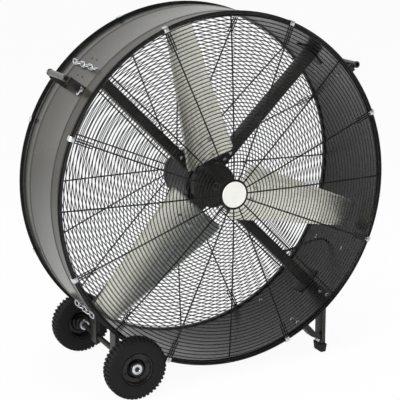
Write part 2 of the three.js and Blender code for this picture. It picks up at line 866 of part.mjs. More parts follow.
function handleGrip() {
  return turned([
    [0, gripFront],
    [gripFlange - 3, gripFront],
    [gripFlange, gripFront + 2],
    [gripFlange, gripFront + gripFlangeWidth],
    [gripRadius, gripFront + 2 * gripFlangeWidth],
    [gripRadius, gripBack - 2 * gripFlangeWidth],
    [gripFlange, gripBack - gripFlangeWidth],
    [gripFlange, gripBack],
    [0, gripBack],
  ], 16, true).translate(handleOutside - handleSheet / 2, 0, 0);
}

function gripSocket() {
  const outer = handleOutside + clearance;
  const half = handleBar / 2 + clearance;
  const inner = outer - handleSheet - 2 * clearance;
  const start = handleFront - handleSheet / 2 - clearance;
  return join(block(inner, outer, start, handleBack, -half, half), handleRiser(handleFront, clearance));
}

function addHandles() {
  for (const [side, angle] of [['left', handleAngleLeft], ['right', handleAngleRight]]) {
    const bored = side === 'left' ? cut(handleFrame(), linkHole()) : handleFrame();
    const frame = cut(around(angle, bored), drumBody());
    addPiece(`handle_bracket_${side}`, frame, steel);
    const grip = around(angle, cut(handleGrip(), gripSocket()));
    addPiece(`handle_grip_${side}`, grip, rubber);
  }
}

// A closed loop of round wire with straight sides and half-round ends. It lies in the plane of the fan
// axis and the tangent; its middle is at the origin and its length runs along the axis given.
function wireLoop(length, width, wireRadius, lengthAlongFan) {
  const bend = (width - 2 * wireRadius) / 2;
  const straight = (length - width) / 2;
  const arcSteps = 3;
  const centre = [];
  for (const end of [1, -1]) {
    for (let i = 0; i <= arcSteps; i++) {
      const turn = Math.PI * i / arcSteps - Math.PI / 2;
      centre.push({ u: end * (straight + bend * Math.cos(turn)), v: end * bend * Math.sin(turn), turn, end });
    }
  }
  const sides = 5;
  const vertices = [];
  for (const { u, v, turn, end } of centre) {
    for (let k = 0; k < sides; k++) {
      const roll = 2 * Math.PI * k / sides;
      const out = wireRadius * Math.cos(roll);
      const along = u + end * out * Math.cos(turn);
      const across = v + end * out * Math.sin(turn);
      const lift = wireRadius * Math.sin(roll);
      vertices.push(lift, lengthAlongFan ? along : across, lengthAlongFan ? across : along);
    }
  }
  const triangles = [];
  const count = centre.length;
  for (let i = 0; i < count; i++) {
    for (let k = 0; k < sides; k++) {
      const [a, b] = [i * sides + k, i * sides + (k + 1) % sides];
      const [c, d] = [(i + 1) % count * sides + k, (i + 1) % count * sides + (k + 1) % sides];
      triangles.push(a, b, d, a, d, c);
    }
  }
  const geometry = new THREE.BufferGeometry();
  geometry.setAttribute('position', new THREE.Float32BufferAttribute(vertices, 3));
  geometry.setIndex(triangles);
  return closed(geometry);
}

// The small link hung in the left handle's front riser, lying over the bracket's foot.
function linkPin() {
  return { x: drumRadius + handleSheet + linkWire + clearance, z: linkInset - riserWidth / 2 };
}

function linkHole() {
  const pin = linkPin();
  return rod(linkWire + linkPlay, handleFront - handleSheet, handleFront + handleSheet, 12)
    .translate(pin.x, 0, pin.z);
}

function quickLink() {
  const pin = linkPin();
  const reach = linkLength / 2 - linkWire;
  return wireLoop(linkLength, linkWidth, linkWire, false).translate(pin.x, handleFront, pin.z + reach);
}

// Links in turn lean to one side and to the other, and each bites a little into the next.
function chain(links, seat) {
  const radius = chainWire / 2;
  const length = chainPitch + 2 * chainWire - chainBite;
  const lean = Math.PI / 4;
  const loops = [];
  for (let i = 0; i < links; i++) {
    const loop = wireLoop(length, chainLinkWidth, radius, true);
    const roll = i % 2 === 0 ? lean : -lean;
    loops.push(loop.rotateY(roll).translate(0, (i - (links - 1) / 2) * chainPitch, 0));
  }
  const halfHeight = (chainLinkWidth / 2 - radius) * Math.sin(lean) + radius;
  return join(...loops).translate(seat + clearance + halfHeight, 0, 0);
}

// The drum's wall is a polygon: this is how far its outside lies from the fan axis at an angle.
function wallAt(angle) {
  const facet = 360 / wallSides;
  const fromMiddle = (angle % facet) - facet / 2;
  return drumRadius * Math.cos(radians(facet / 2)) / Math.cos(radians(fromMiddle));
}

function addChains() {
  addPiece('quick_link', around(handleAngleLeft, quickLink()), zinc);
  const upper = chain(upperChainLinks, wallAt(upperChainAngle) + beadHeight).translate(0, upperChainY, 0);
  addPiece('chain_upper', around(upperChainAngle, upper), zinc);
  const lower = chain(lowerChainLinks, wallAt(lowerChainAngle)).translate(0, lowerChainY, 0);
  addPiece('chain_lower', around(lowerChainAngle, lower), zinc);
}

// ---------------------------------------------------------------- control box, knob and lead

const boxOutside = drumRadius + boxDepth;
const boxInside = boxOutside - boxWall;
const boxEnd = boxLength / 2;
const knobX = drumRadius + boxDepth / 2;

function controlBox() {
  const half = boxWidth / 2;
  const shell = block(drumInner, boxOutside, -boxEnd, boxEnd, -half, half);
  const hollow = block(0, boxInside, -boxEnd + boxWall, boxEnd - boxWall, -half + boxWall, half - boxWall);
  const knobHole = rod(knobStem + clearance, -boxEnd - boxWall, -boxEnd + 2 * boxWall, smallSides);
  const glandHole = rod(glandNeck + clearance, boxEnd - 2 * boxWall, boxEnd + boxWall, smallSides);
  return cut(shell, hollow, knobHole.translate(knobX, 0, 0), glandHole.translate(knobX, 0, 0));
}

function speedKnob() {
  const face = -boxEnd - clearance;
  const stemEnd = -boxEnd + boxWall + switchDepth / 2;
  const body = turned([
    [0, face - knobLength],
    [knobRadius - 3, face - knobLength],
    [knobRadius, face - 2],
    [knobRadius, face],
    [knobStem, face],
    [knobStem, stemEnd],
    [0, stemEnd],
  ], smallSides, true);
  const ridge = block(-3, 3, face - knobLength - 3, face - knobLength + 1, -knobRadius + 4, knobRadius - 4);
  return join(body, ridge);
}

function speedSwitch() {
  const front = -boxEnd + boxWall + clearance;
  const half = switchSize / 2;
  const body = block(-half, half, front, front + switchDepth, -half, half);
  return cut(body, rod(knobStem + clearance, front - 1, front + switchDepth / 2 + 2, smallSides));
}

function cordGland() {
  return turned([
    [glandBore, boxEnd - 3 * boxWall],
    [glandNeck, boxEnd - 3 * boxWall],
    [glandNeck, boxEnd + clearance],
    [glandRadius, boxEnd + clearance],
    [glandRadius, boxEnd + glandLength / 2],
    [glandNeck, boxEnd + glandLength],
    [glandBore, boxEnd + glandLength],
  ], smallSides);
}

// The lead's route: out of the box through the wall, across to the lower right arm and down its channel.
// Each point is [distance from the fan axis, angle, place along the fan axis].
function leadRoute() {
  const behindArm = armFront + armDepth + clearance + leadRadius + 1;
  const inArm = armFront + armSheet + clearance + leadRadius + 1;
  const armAngle = armFirstAngle - 360 / armCorners.length;
  return [
    [drumRadius + boxDepth / 4, boxAngle, behindArm],
    [drumInner - 12, boxAngle, behindArm],
    [506, -31, behindArm],
    [466, -36, behindArm],
    [430, -41.5, behindArm],
    [392, armAngle, behindArm],
    [366, armAngle, mix(behindArm, inArm, 0.12)],
    [346, armAngle, mix(behindArm, inArm, 0.4)],
    [326, armAngle, mix(behindArm, inArm, 0.75)],
    [306, armAngle, mix(behindArm, inArm, 0.95)],
    [286, armAngle, inArm],
    [266, armAngle, inArm],
    [motorRadius * 2, armAngle, inArm],
    [motorRadius + 1, armAngle, inArm],
  ];
}

function motorLead() {
  const points = leadRoute().map(([r, angle, y]) => {
    const turn = radians(angle);
    return new THREE.Vector3(r * Math.cos(turn), y, r * Math.sin(turn));
  });
  const section = new THREE.Shape();
  section.absarc(0, 0, leadRadius, 0, 2 * Math.PI);
  return closed(new THREE.ExtrudeGeometry(section, {
    steps: 30,
    curveSegments: leadSides,
    bevelEnabled: false,
    extrudePath: new THREE.CatmullRomCurve3(points, false, 'centripetal'),
  }));
}

function leadHole() {
  const behindArm = leadRoute()[0][2];
  const holeRadius = leadRadius + leadHolePlay;
  const bit = new THREE.CylinderGeometry(holeRadius, holeRadius, boxDepth, 12).rotateZ(Math.PI / 2);
  return around(boxAngle, bit.translate(drumRadius, behindArm, 0));
}

function addControls() {
  const place = (geometry) => around(boxAngle, geometry);
  addPiece('control_box', cut(place(controlBox()), drumBody()), plastic);
  addPiece('speed_knob', place(speedKnob().translate(knobX, 0, 0)), plastic);
  addPiece('speed_switch', place(speedSwitch().translate(knobX, 0, 0)), plastic);
  const canX = boxInside - clearance - capacitorRadius;
  const can = rod(capacitorRadius, -capacitorLength / 2, capacitorLength / 2, motorSides);
  const canZ = capacitorRadius - boxWidth / 2 + 2 * boxWall;
  addPiece('run_capacitor', place(can.translate(canX, 0, canZ)), zinc);
  addPiece('cord_gland', place(cordGland().translate(knobX, 0, 0)), plastic);
  addPiece('motor_lead', motorLead(), rubber);
}

// ---------------------------------------------------------------- assembly

addPiece('drum_shell', drumShell(), steel);
addGuards();
addMotor();
addRotor();
addWheels();
addPosts();
addLegs();
addHandles();
addChains();
addControls();

export default fan;
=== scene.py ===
# A 42 inch drum fan, dressed piece by piece around its frame.
# Metres, +Z up, the fan blows towards -Y. Angles around the drum start at +X and turn towards +Z.

import math

import bpy
from mathutils import Matrix, Vector


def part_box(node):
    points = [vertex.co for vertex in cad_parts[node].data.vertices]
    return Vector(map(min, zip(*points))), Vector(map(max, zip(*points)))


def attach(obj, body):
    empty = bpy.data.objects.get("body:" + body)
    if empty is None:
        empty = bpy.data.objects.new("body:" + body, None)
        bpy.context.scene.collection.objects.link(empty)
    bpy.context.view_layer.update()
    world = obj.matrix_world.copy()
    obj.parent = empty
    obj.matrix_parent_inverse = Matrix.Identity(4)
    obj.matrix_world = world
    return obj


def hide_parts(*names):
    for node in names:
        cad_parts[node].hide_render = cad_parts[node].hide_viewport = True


bl_info = {
    "name": "Drum Fan",
    "version": (1, 0, 0),
    "blender": (4, 5, 0),
    "location": "View3D > Sidebar > Drum Fan",
    "description": "Dresses a wheeled drum fan piece by piece around its frame",
    "category": "Add Mesh",
}

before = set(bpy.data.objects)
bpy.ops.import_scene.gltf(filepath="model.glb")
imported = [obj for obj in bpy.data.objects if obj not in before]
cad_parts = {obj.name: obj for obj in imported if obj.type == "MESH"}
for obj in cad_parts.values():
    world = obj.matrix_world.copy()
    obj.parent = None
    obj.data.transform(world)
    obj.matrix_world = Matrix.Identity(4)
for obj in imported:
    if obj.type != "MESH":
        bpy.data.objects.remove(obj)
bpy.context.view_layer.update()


def middle(node):
    low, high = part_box(node)
    return (low + high) / 2


def extent(node):
    low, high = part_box(node)
    return high - low


# ------------------------------------------------------------------ places taken from the frame

AXIS = middle("drum_shell")
FAN_LINE = (AXIS.x, 0, AXIS.z)
RIM_RADIUS = extent("drum_shell").x / 2
HALF_DEPTH = extent("drum_shell").y / 2
WALL_RADIUS = RIM_RADIUS - 0.008
SHEET = 0.003
GROOVE = 0.005
GUARD_EDGE = extent("front_grille").x / 2
GUARD_DOME = 0.027
GUARD_SEAT = HALF_DEPTH + 0.0003
TYRE_RADIUS = extent("tyre_front").z / 2
WHEEL_FRONT = middle("tyre_front")
WHEEL_REAR = middle("tyre_rear")
MOTOR_RADIUS = extent("motor_housing").x / 2
ARM_ANGLES = (45, 135, 225, 315)
ARM_CORNERS = ("upper_right", "upper_left", "lower_left", "lower_right")
BLADE_ANGLES = (-15.5, 104.5, 224.5)
HANDLE_ANGLES = {"left": 142.7, "right": 34.9}
HANDLE_BOLTS = (-0.0925, 0.0725)
GRIP_REACH = WALL_RADIUS + 0.068
CHAINS = {"upper": (135, 6), "lower": (222, 5)}
CHAIN_PITCH = 0.032
LEG_WEB, LEG_BOLT_HEIGHT = 0.365, 0.040
CLIP_ANGLES = tuple(22.5 + 45 * i for i in range(8))
# widths across the flats of the bolts, and of the screws' heads
BOLTS = {"wall": 0.0065, "bell": 0.009, "arm": 0.006, "blade": 0.008, "shaft": 0.016,
         "wheel": 0.006, "leg": 0.011, "handle": 0.007}
SCREWS = {"clip": 0.0085, "collar": 0.007, "box": 0.006}
INNER_NUTS = ((-60.3, 0.112), (-60.3, -0.106), (-60.2, -0.142), (-46.3, -0.104), (-46.1, -0.145),
              (36.4, -0.084), (35.6, 0.060), (-29.1, 0.096), (-29.2, -0.068))

# the photograph's frame: where it was taken from, along what line, and how long the lens is
CAMERA_PLACE = (-1.7687, -3.6230, 1.5376)
CAMERA_LINE = (0.4272, 0.8751, -0.2277)
CAMERA_LENS = 116.1
CAMERA_SHIFT = (-0.0105, -0.0483)


# ------------------------------------------------------------------ settings shown in the sidebar

class FanSizes(bpy.types.PropertyGroup):
    """Sizes of the parts that are modelled here."""

    ring_count: bpy.props.IntProperty(
        name="Guard rings", description="Wire rings in each guard", default=44, min=8, max=60)
    ring_wire: bpy.props.FloatProperty(
        name="Ring wire", description="Thickness of a guard ring", default=0.0031, unit="LENGTH")
    spoke_wire: bpy.props.FloatProperty(
        name="Spoke wire", description="Thickness of a guard spoke", default=0.0046, unit="LENGTH")
    spoke_count: bpy.props.IntProperty(
        name="Guard spokes", description="Radial wires in each guard", default=16, min=4, max=32)
    drum_steps: bpy.props.IntProperty(
        name="Drum steps", description="Faces around the drum", default=192, min=48, max=256)
    blade_sheet: bpy.props.FloatProperty(
        name="Blade sheet", description="Thickness of a blade", default=0.0025, unit="LENGTH")
    tread_blocks: bpy.props.IntProperty(
        name="Tread blocks", description="Blocks around one side of a tyre",
        default=44, min=12, max=80)
    chain_wire: bpy.props.FloatProperty(
        name="Chain wire", description="Thickness of a chain link's wire",
        default=0.0040, unit="LENGTH")
    edge_round: bpy.props.FloatProperty(
        name="Edge rounding", description="Rounding on sawn and folded steel",
        default=0.0008, unit="LENGTH")


class FanColours(bpy.types.PropertyGroup):
    """Base colours of the finishes."""

    drum: bpy.props.FloatVectorProperty(
        name="Drum", description="Coat on the outside of the drum", subtype="COLOR",
        default=(0.031, 0.029, 0.021))
    steel: bpy.props.FloatVectorProperty(
        name="Steelwork", description="Powder coat on arms, legs and brackets", subtype="COLOR",
        default=(0.013, 0.0125, 0.011))
    motor: bpy.props.FloatVectorProperty(
        name="Motor", description="Paint on the motor and the hub", subtype="COLOR",
        default=(0.014, 0.0125, 0.011))
    wire: bpy.props.FloatVectorProperty(
        name="Guard wire", description="Dipped coat on the guards", subtype="COLOR",
        default=(0.002, 0.002, 0.002))
    zinc: bpy.props.FloatVectorProperty(
        name="Zinc", description="Plated clips, chains and bolts", subtype="COLOR",
        default=(0.7, 0.72, 0.74))
    blade: bpy.props.FloatVectorProperty(
        name="Blades", description="Bare metal of the blades", subtype="COLOR",
        default=(0.97, 0.945, 0.84))
    rubber: bpy.props.FloatVectorProperty(
        name="Rubber", description="Tyres, feet and grips", subtype="COLOR",
        default=(0.009, 0.009, 0.009))
    plastic: bpy.props.FloatVectorProperty(
        name="Plastic", description="Control box and knob", subtype="COLOR",
        default=(0.012, 0.012, 0.012))
    badge: bpy.props.FloatVectorProperty(
        name="Badge", description="Plain disc in the middle of the guard", subtype="COLOR",
        default=(0.74, 0.73, 0.68))


# ------------------------------------------------------------------ modelling helpers

def deselect():
    bpy.ops.object.select_all(action="DESELECT")


def activate(piece):
    deselect()
    piece.select_set(True)
    bpy.context.view_layer.objects.active = piece


def edit(piece, all_selected=True):
    activate(piece)
    bpy.ops.object.mode_set(mode="EDIT")
    bpy.ops.mesh.select_mode(type="VERT")
    bpy.ops.mesh.select_all(action="SELECT" if all_selected else "DESELECT")


def leave_edit():
    bpy.ops.object.mode_set(mode="OBJECT")


def edit_faces(piece, wanted):
    """Opens the piece for editing with the faces selected that pass the test."""
    edit(piece, False)
    bpy.ops.mesh.select_mode(type="FACE")
    leave_edit()
    for polygon in piece.data.polygons:
        polygon.select = wanted(polygon)
    bpy.ops.object.mode_set(mode="EDIT")


def settle(piece):
    """Puts the piece's place into its mesh."""
    activate(piece)
    bpy.ops.object.transform_apply(location=True, rotation=True, scale=True)
    return piece


def add_modifier(piece, kind, **values):
    """Adds a modifier and applies it at once."""
    activate(piece)
    modifier = piece.modifiers.new(kind.title(), kind)
    for key, value in values.items():
        setattr(modifier, key, value)
    bpy.ops.object.modifier_apply(modifier=modifier.name)
    return piece


def bevel(piece, width, segments=2, angle=30):
    return add_modifier(
        piece, "BEVEL", width=width, segments=segments, limit_method="ANGLE",
        angle_limit=math.radians(angle), harden_normals=False)


def smooth(piece, angle=35):
    activate(piece)
    bpy.ops.object.shade_smooth_by_angle(angle=math.radians(angle))
    return piece


def tidy(piece, distance=1e-6):
    """Merges doubles and turns the faces outwards."""
    edit(piece)
    bpy.ops.mesh.remove_doubles(threshold=distance)
    bpy.ops.mesh.normals_make_consistent(inside=False)
    leave_edit()
    return piece


def join(name, pieces):
    deselect()
    for piece in pieces:
        piece.select_set(True)
    bpy.context.view_layer.objects.active = pieces[0]
    if len(pieces) > 1:
        bpy.ops.object.join()
    pieces[0].name = name
    return pieces[0]


def new_piece(name, mesh):
    piece = bpy.data.objects.new(name, mesh)
    bpy.context.scene.collection.objects.link(piece)
    return piece


def copy_at(master, name, matrix):
    """A copy of the piece with its own mesh, moved inside that mesh."""
    mesh = master.data.copy()
    mesh.transform(matrix)
    return new_piece(name, mesh)


def repeat(master, name, matrices):
    """One piece made of copies of the master, which is then removed."""
    copies = [copy_at(master, f"{name}_{i}", matrix) for i, matrix in enumerate(matrices)]
    bpy.data.objects.remove(master)
    return join(name, copies)


def lean(angle):
    """Turns by an angle around the Y axis, from +X towards +Z."""
    return Matrix.Rotation(math.radians(-angle), 4, "Y")


def turn_about(centre, angle):
    """Turns by an angle around the line along Y through centre, from +X towards +Z."""
    return Matrix.Translation(centre) @ lean(angle) @ Matrix.Translation(-Vector(centre))


def aim(place, direction, spin=0):
    """Takes a piece that stands on the origin along +Z to a place, pointing in a direction."""
    turn = Vector(direction).to_track_quat("Z", "Y").to_matrix().to_4x4()
    return Matrix.Translation(place) @ turn @ Matrix.Rotation(math.radians(spin), 4, "Z")


def outward(angle):
    return Vector((math.cos(math.radians(angle)), 0, math.sin(math.radians(angle))))


def at_angle(radius, angle, along, across=0):
    """A place around the fan axis: radius and angle, then along Y, then across the radius."""
    out = outward(angle)
    side = Vector((-out.z, 0, out.x))
    return Vector((AXIS.x, along, AXIS.z)) + out * radius + side * across


def on_wall(radius, angle, along, across=0, spin=0):
    """Stands a piece on the drum, pointing away from the fan axis."""
    return aim(at_angle(radius, angle, along, across), outward(angle), spin)


def turned(name, profile, steps, centre=FAN_LINE, closed=True, angle=35):
    """Spins a profile of (radius, along) pairs around the line along Y through centre."""
    deselect()
    bpy.ops.mesh.primitive_plane_add(size=0.001, location=(0, 0, 0))
    piece = bpy.context.object
    piece.name = name
    edit(piece)
    bpy.ops.mesh.merge(type="CENTER")
    radius, along = profile[0]
    bpy.ops.transform.translate(value=(centre[0] + radius, centre[1] + along, centre[2]))
    path = list(profile[1:]) + ([profile[0]] if closed else [])
    for next_radius, next_along in path:
        step = (next_radius - radius, next_along - along, 0)
        bpy.ops.mesh.extrude_region_move(TRANSFORM_OT_translate={"value": step})
        radius, along = next_radius, next_along
    bpy.ops.mesh.select_all(action="SELECT")
    bpy.ops.mesh.remove_doubles(threshold=1e-6)
    bpy.ops.mesh.select_all(action="SELECT")
    bpy.ops.mesh.spin(steps=steps, angle=2 * math.pi, center=tuple(centre), axis=(0, 1, 0))
    leave_edit()
    tidy(piece)
    return smooth(piece, angle)


def arc(centre, radius, start, end, count):
    """Points of a profile along an arc, start and end in degrees."""
    turns = [math.radians(start + (end - start) * i / (count - 1)) for i in range(count)]
    return [(centre[0] + radius * math.cos(t), centre[1] + radius * math.sin(t)) for t in turns]


def wire(name, points, radius, closed=False, sides=2):
    """A round wire through points, made as a curve and turned into a mesh."""
    deselect()
    bpy.ops.curve.primitive_bezier_curve_add(location=(0, 0, 0))
    piece = bpy.context.object
    piece.name = name
    curve = piece.data
    curve.splines.clear()
    spline = curve.splines.new("POLY")
    spline.points.add(len(points) - 1)
    for point, place in zip(spline.points, points):
        point.co = (*place, 1)
    spline.use_cyclic_u = closed
    curve.dimensions = "3D"
    curve.bevel_depth = radius
    curve.bevel_resolution = sides
    curve.use_fill_caps = not closed
    bpy.ops.object.convert(target="MESH")
    return smooth(tidy(bpy.context.object), 50)


def cylinder(name, radius, depth, place=(0, 0, 0), sides=24):
    """Stands on its place along +Z."""
    deselect()
    spot = Vector(place) + Vector((0, 0, depth / 2))
    bpy.ops.mesh.primitive_cylinder_add(vertices=sides, radius=radius, depth=depth, location=spot)
    piece = settle(bpy.context.object)
    piece.name = name
    return piece


def box_between(name, low, high):
    deselect()
    low, high = Vector(low), Vector(high)
    bpy.ops.mesh.primitive_cube_add(size=1, location=(low + high) / 2, scale=high - low)
    piece = settle(bpy.context.object)
    piece.name = name
    return piece


def wall_plate(name, low, high, half_length, half_width, rounding, angle):
    """A flat plate between two radii, with rounded edges, at an angle around the drum."""
    plate = box_between(name, at_angle(low, 0, -half_length, -half_width),
                        at_angle(high, 0, half_length, half_width))
    bevel(plate, rounding)
    plate.data.transform(turn_about(AXIS, angle))
    return plate


def dome_master(radius, depth, rounding):
    """A rivet's rounded head, standing along +Z."""
    return smooth(bevel(cylinder("dome", radius, depth, sides=16), rounding, 3), 40)


def bolt_master(size):
    """A hexagon head on a washer, standing along +Z. Its size is the distance across the flats."""
    thick, tall, corner = size * 0.14, size * 0.55, size / 2 / math.cos(math.pi / 6)
    washer = bevel(cylinder("washer", size * 0.95, thick), size * 0.04)
    head = bevel(cylinder("head", corner, tall, (0, 0, thick), 6), size * 0.05)
    end = bevel(cylinder("end", size * 0.28, size * 0.2, (0, 0, thick + tall), 12), size * 0.05)
    return smooth(join("bolt", [washer, head, end]), 30)


def screw_master(size):
    """A pan head with a cross slot, standing along +Z. Its size is the head's width."""
    head = cylinder("screw", size / 2, size * 0.32, sides=20)
    bevel(head, size * 0.12, 3)
    long, narrow, floor = size * 0.3, size * 0.05, size * 0.2
    for half_x, half_y in ((long, narrow), (narrow, long)):
        slot = box_between("slot", (-half_x, -half_y, floor), (half_x, half_y, size))
        add_modifier(head, "BOOLEAN", object=slot, operation="DIFFERENCE", solver="EXACT")
        bpy.data.objects.remove(slot)
    return smooth(head, 30)


def dressed_copy(node, width, angle):
    """A node's own shape with rounded edges, as a new piece."""
    piece = new_piece(f"{node}_dressed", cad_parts[node].data.copy())
    edit(piece)
    bpy.ops.mesh.remove_doubles(threshold=2e-5)
    bpy.ops.mesh.tris_convert_to_quads(
        face_threshold=math.radians(1), shape_threshold=math.radians(60))
    bpy.ops.mesh.dissolve_limited(angle_limit=math.radians(0.5))
    leave_edit()
    if width:
        bevel(piece, width, 2, angle)
    smooth(piece, angle)
    return piece


def finish(piece, slot, look, *nodes, body="frame"):
    """Gives the piece its finish, hides the nodes it stands for and lets it ride on its body."""
    piece.data.materials.clear()
    piece.data.materials.append(FINISHES[look])
    if nodes:
        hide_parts(*nodes)
    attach(piece, body)
    return piece


def dress(node, width, slot="black_steel", look="steel", body="frame", angle=30):
    """The node's own shape with rounded edges takes the node's place."""
    return finish(dressed_copy(node, width, angle), slot, look, node, body=body)


def fasten(name, master, places, slot="zinc", look="zinc", body="frame"):
    """Copies of a bolt, screw or rivet, one at each place, as one piece."""
    return finish(repeat(master, name, places), slot, look, body=body)


def paint_node(node, look):
    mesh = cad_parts[node].data
    mesh.materials.clear()
    mesh.materials.append(FINISHES[look])


# ------------------------------------------------------------------ material helpers

def feed(tree, socket, value):
    """Links the socket to what is an output, and sets it to what is a value."""
    if isinstance(value, bpy.types.NodeSocket):
        tree.links.new(value, socket)
    else:
        socket.default_value = value


def add_node(tree, kind, *ordered, **named):
    """A node that is fed in the order of its inputs, or by their names with _ for a space."""
    node = tree.nodes.new(f"ShaderNode{kind}")
    for socket, value in zip(node.inputs, ordered):
        feed(tree, socket, value)
    for key, value in named.items():
        feed(tree, node.inputs[key.replace("_", " ")], value)
    return node


def calculate(tree, operation, first, second, clamp=False):
    node = add_node(tree, "Math", first, second)
    node.operation = operation
    node.use_clamp = clamp
    return node.outputs[0]


NOISE_LOW, NOISE_HIGH = 0.3, 0.7


class Finish:
    """A material under construction: its nodes, its shader and its Object coordinates."""

    def __init__(self, name):
        self.material = bpy.data.materials.new(name)
        self.material.use_nodes = True
        self.tree = self.material.node_tree
        self.shader = self.tree.nodes["Principled BSDF"]
        self.place = add_node(self.tree, "TexCoord").outputs["Object"]

    def done(self, colour, roughness, normal, **values):
        """Feeds the shader and hands over the material."""
        values.update(Base_Color=colour, Roughness=roughness, Normal=normal)
        for key, value in values.items():
            feed(self.tree, self.shader.inputs[key.replace("_", " ")], value)
        return self.material

    def tones(self, value, colour, dark, light, low=NOISE_LOW, high=NOISE_HIGH):
        """The colour times dark where the value is low, and times light where it is high."""
        return self.blend(self.span(value, low, high), shade(colour, dark), shade(colour, light))

    def mapping(self, scale=(1, 1, 1), rotation=(0, 0, 0), vector=None):
        return add_node(self.tree, "Mapping", Vector=vector or self.place, Scale=scale,
                        Rotation=rotation).outputs[0]

    def noise(self, scale, detail=3, roughness=0.5, vector=None):
        return add_node(self.tree, "TexNoise", Vector=vector or self.place, Scale=scale,
                        Detail=detail, Roughness=roughness).outputs["Fac"]

    def spots(self, scale):
        return add_node(
            self.tree, "TexVoronoi", Vector=self.place, Scale=scale).outputs["Distance"]

    def span(self, value, low, high, to_low=0, to_high=1):
        return add_node(self.tree, "MapRange", value, low, high, to_low, to_high).outputs[0]

    def follow(self, noise, start, end):
        """A number that goes from start to end as the noise goes from its lows to its highs."""
        return self.span(noise, NOISE_LOW, NOISE_HIGH, start, end)

    def math(self, operation, first, second):
        return calculate(self.tree, operation, first, second)

    def blend(self, factor, first, second):
        """A colour between two colours, or between two outputs."""
        node = add_node(self.tree, "Mix", factor)
        node.data_type = "RGBA"
        for socket, value in ((node.inputs[6], first), (node.inputs[7], second)):
            feed(self.tree, socket, (*value, 1) if isinstance(value, tuple) else value)
        return node.outputs[2]

    def bump(self, height, strength, distance):
        return add_node(self.tree, "Bump", Strength=strength, Distance=distance,
                        Height=height).outputs["Normal"]


def shade(colour, factor):
    return tuple(min(1, channel * factor) for channel in colour)


DUST = (0.2, 0.19, 0.17)
STAIN = (0.5, 0.47, 0.39)
# scale, detail and roughness of the noise that tones a coat, and of the one that dusts it
SLOW_TONE, DUST_GRAIN, DUST_RANGE = (5, 4, 0.6), (38, 6, 0.7), (0.52, 0.72)


def powder_coat(name, colour, roughness, peel=900):
    """Satin powder coat: an orange peel, slow changes of tone and a little dust and rubbing."""
    look = Finish(name)
    slow, dust = look.noise(*SLOW_TONE), look.span(look.noise(*DUST_GRAIN), *DUST_RANGE)
    tone = look.blend(look.math("MULTIPLY", dust, 0.12), look.tones(slow, colour, 0.86, 1.16), DUST)
    rough = look.span(slow, 0.25, 0.75, roughness - 0.06, roughness + 0.07)
    return look.done(tone, rough, look.bump(look.noise(peel, 2, 0.4), 0.12, 0.0006),
                     IOR=1.5, Specular_IOR_Level=0.3)


def drum_coat(name, wall, rim):
    """Satin coat: it mirrors the room on the wall. Its colour turns darker towards the rims, partly
    the rims' darker paint and partly painted shade and painted dark reflection. The whole inside is
    painted darker as shade, and towards the rims the outside also loses gloss.
    """
    look = Finish(name)
    # where along the axis the wall's tone gives way to the darker tone (the rims' paint, with
    # painted shade in a wide band before the rear rim), and how much gloss each end loses
    front_rim_shade, rear_rim_shade = (-0.152, -0.147), (0.136, 0.116)
    front_loss, rear_loss = (-0.147, -0.153, 0, 0.36), (0.112, 0.146, 0, 0.47)
    across, along, up = add_node(look.tree, "SeparateXYZ", look.place).outputs
    height = look.math("SUBTRACT", up, AXIS.z)
    squares = look.math(
        "ADD", look.math("MULTIPLY", across, across), look.math("MULTIPLY", height, height))
    radius = look.math("POWER", squares, 0.5)
    # 0 inside the drum, where the colour takes the darker tone as painted shade
    outside = look.span(radius, WALL_RADIUS - 0.002, WALL_RADIUS - 0.0008)
    between_rims = look.math(
        "MULTIPLY", look.span(along, *front_rim_shade), look.span(along, *rear_rim_shade))
    slow, dust = look.noise(*SLOW_TONE), look.span(look.noise(*DUST_GRAIN), *DUST_RANGE, 0, 0.06)
    # the darker tone on the rims, in the band before the rear rim and inside the drum is painted
    # shade
    tone = look.blend(
        look.math("MULTIPLY", outside, between_rims), rim, look.tones(slow, wall, 0.92, 1.08))
    edges = look.math("ADD", look.span(along, *front_loss), look.span(along, *rear_loss))
    gloss = look.math("SUBTRACT", 0.5, look.math("MULTIPLY", outside, edges))
    return look.done(
        look.blend(dust, tone, DUST), look.span(slow, 0.25, 0.75, 0.22, 0.3),
        look.bump(look.noise(700, 2, 0.4), 0.06, 0.0006), IOR=1.5, Specular_IOR_Level=gloss)


def plated(name, colour):
    """Bright zinc plate with a faint drawn grain and duller patches."""
    look = Finish(name)
    patches = look.noise(60, 4, 0.6)
    grain = look.noise(420, 3, 0.6, look.mapping(scale=(1, 0.15, 1)))
    return look.done(
        look.tones(patches, colour, 1.05, 0.74, 0.35), look.follow(patches, 0.22, 0.42),
        look.bump(grain, 0.15, 0.0003), Metallic=0.95)


def blade_metal(name, colour, angle):
    """Mill-finish sheet: rolling grain along the blade, soft stains and faint scratches."""
    look = Finish(name)
    along = look.mapping(rotation=(0, math.radians(angle), 0))
    grain = look.noise(9, 5, 0.65, look.mapping(scale=(1.2, 1, 60), vector=along))
    stains = look.span(look.noise(7, 3, 0.55), 0.45, 0.75, 0, 0.22)
    return look.done(
        look.blend(stains, look.tones(grain, colour, 0.93, 1.06), STAIN),
        look.follow(grain, 0.24, 0.32), look.bump(grain, 0.08, 0.0004), Metallic=0.95)


def rubber(name, colour, grain=700):
    """Dull rubber with a fine grain and a dry, dusty bloom."""
    look = Finish(name)
    bloom = look.noise(24, 5, 0.65)
    return look.done(
        look.tones(bloom, colour, 1, 1.9, 0.4, 0.75), look.follow(bloom, 0.62, 0.8),
        look.bump(look.noise(grain, 3, 0.6), 0.25, 0.0005), IOR=1.45, Specular_IOR_Level=0.3)


def satin_sleeve(name, colour):
    """Hard glossy sleeve that catches the light, with fine turning marks."""
    look = Finish(name)
    slow = look.noise(30, 3, 0.5)
    rings = look.noise(90, 2, 0.5, look.mapping(scale=(0.1, 8, 0.1)))
    return look.done(
        look.tones(slow, colour, 0.8, 1.3), look.follow(slow, 0.2, 0.3),
        look.bump(rings, 0.08, 0.0003), IOR=1.7)


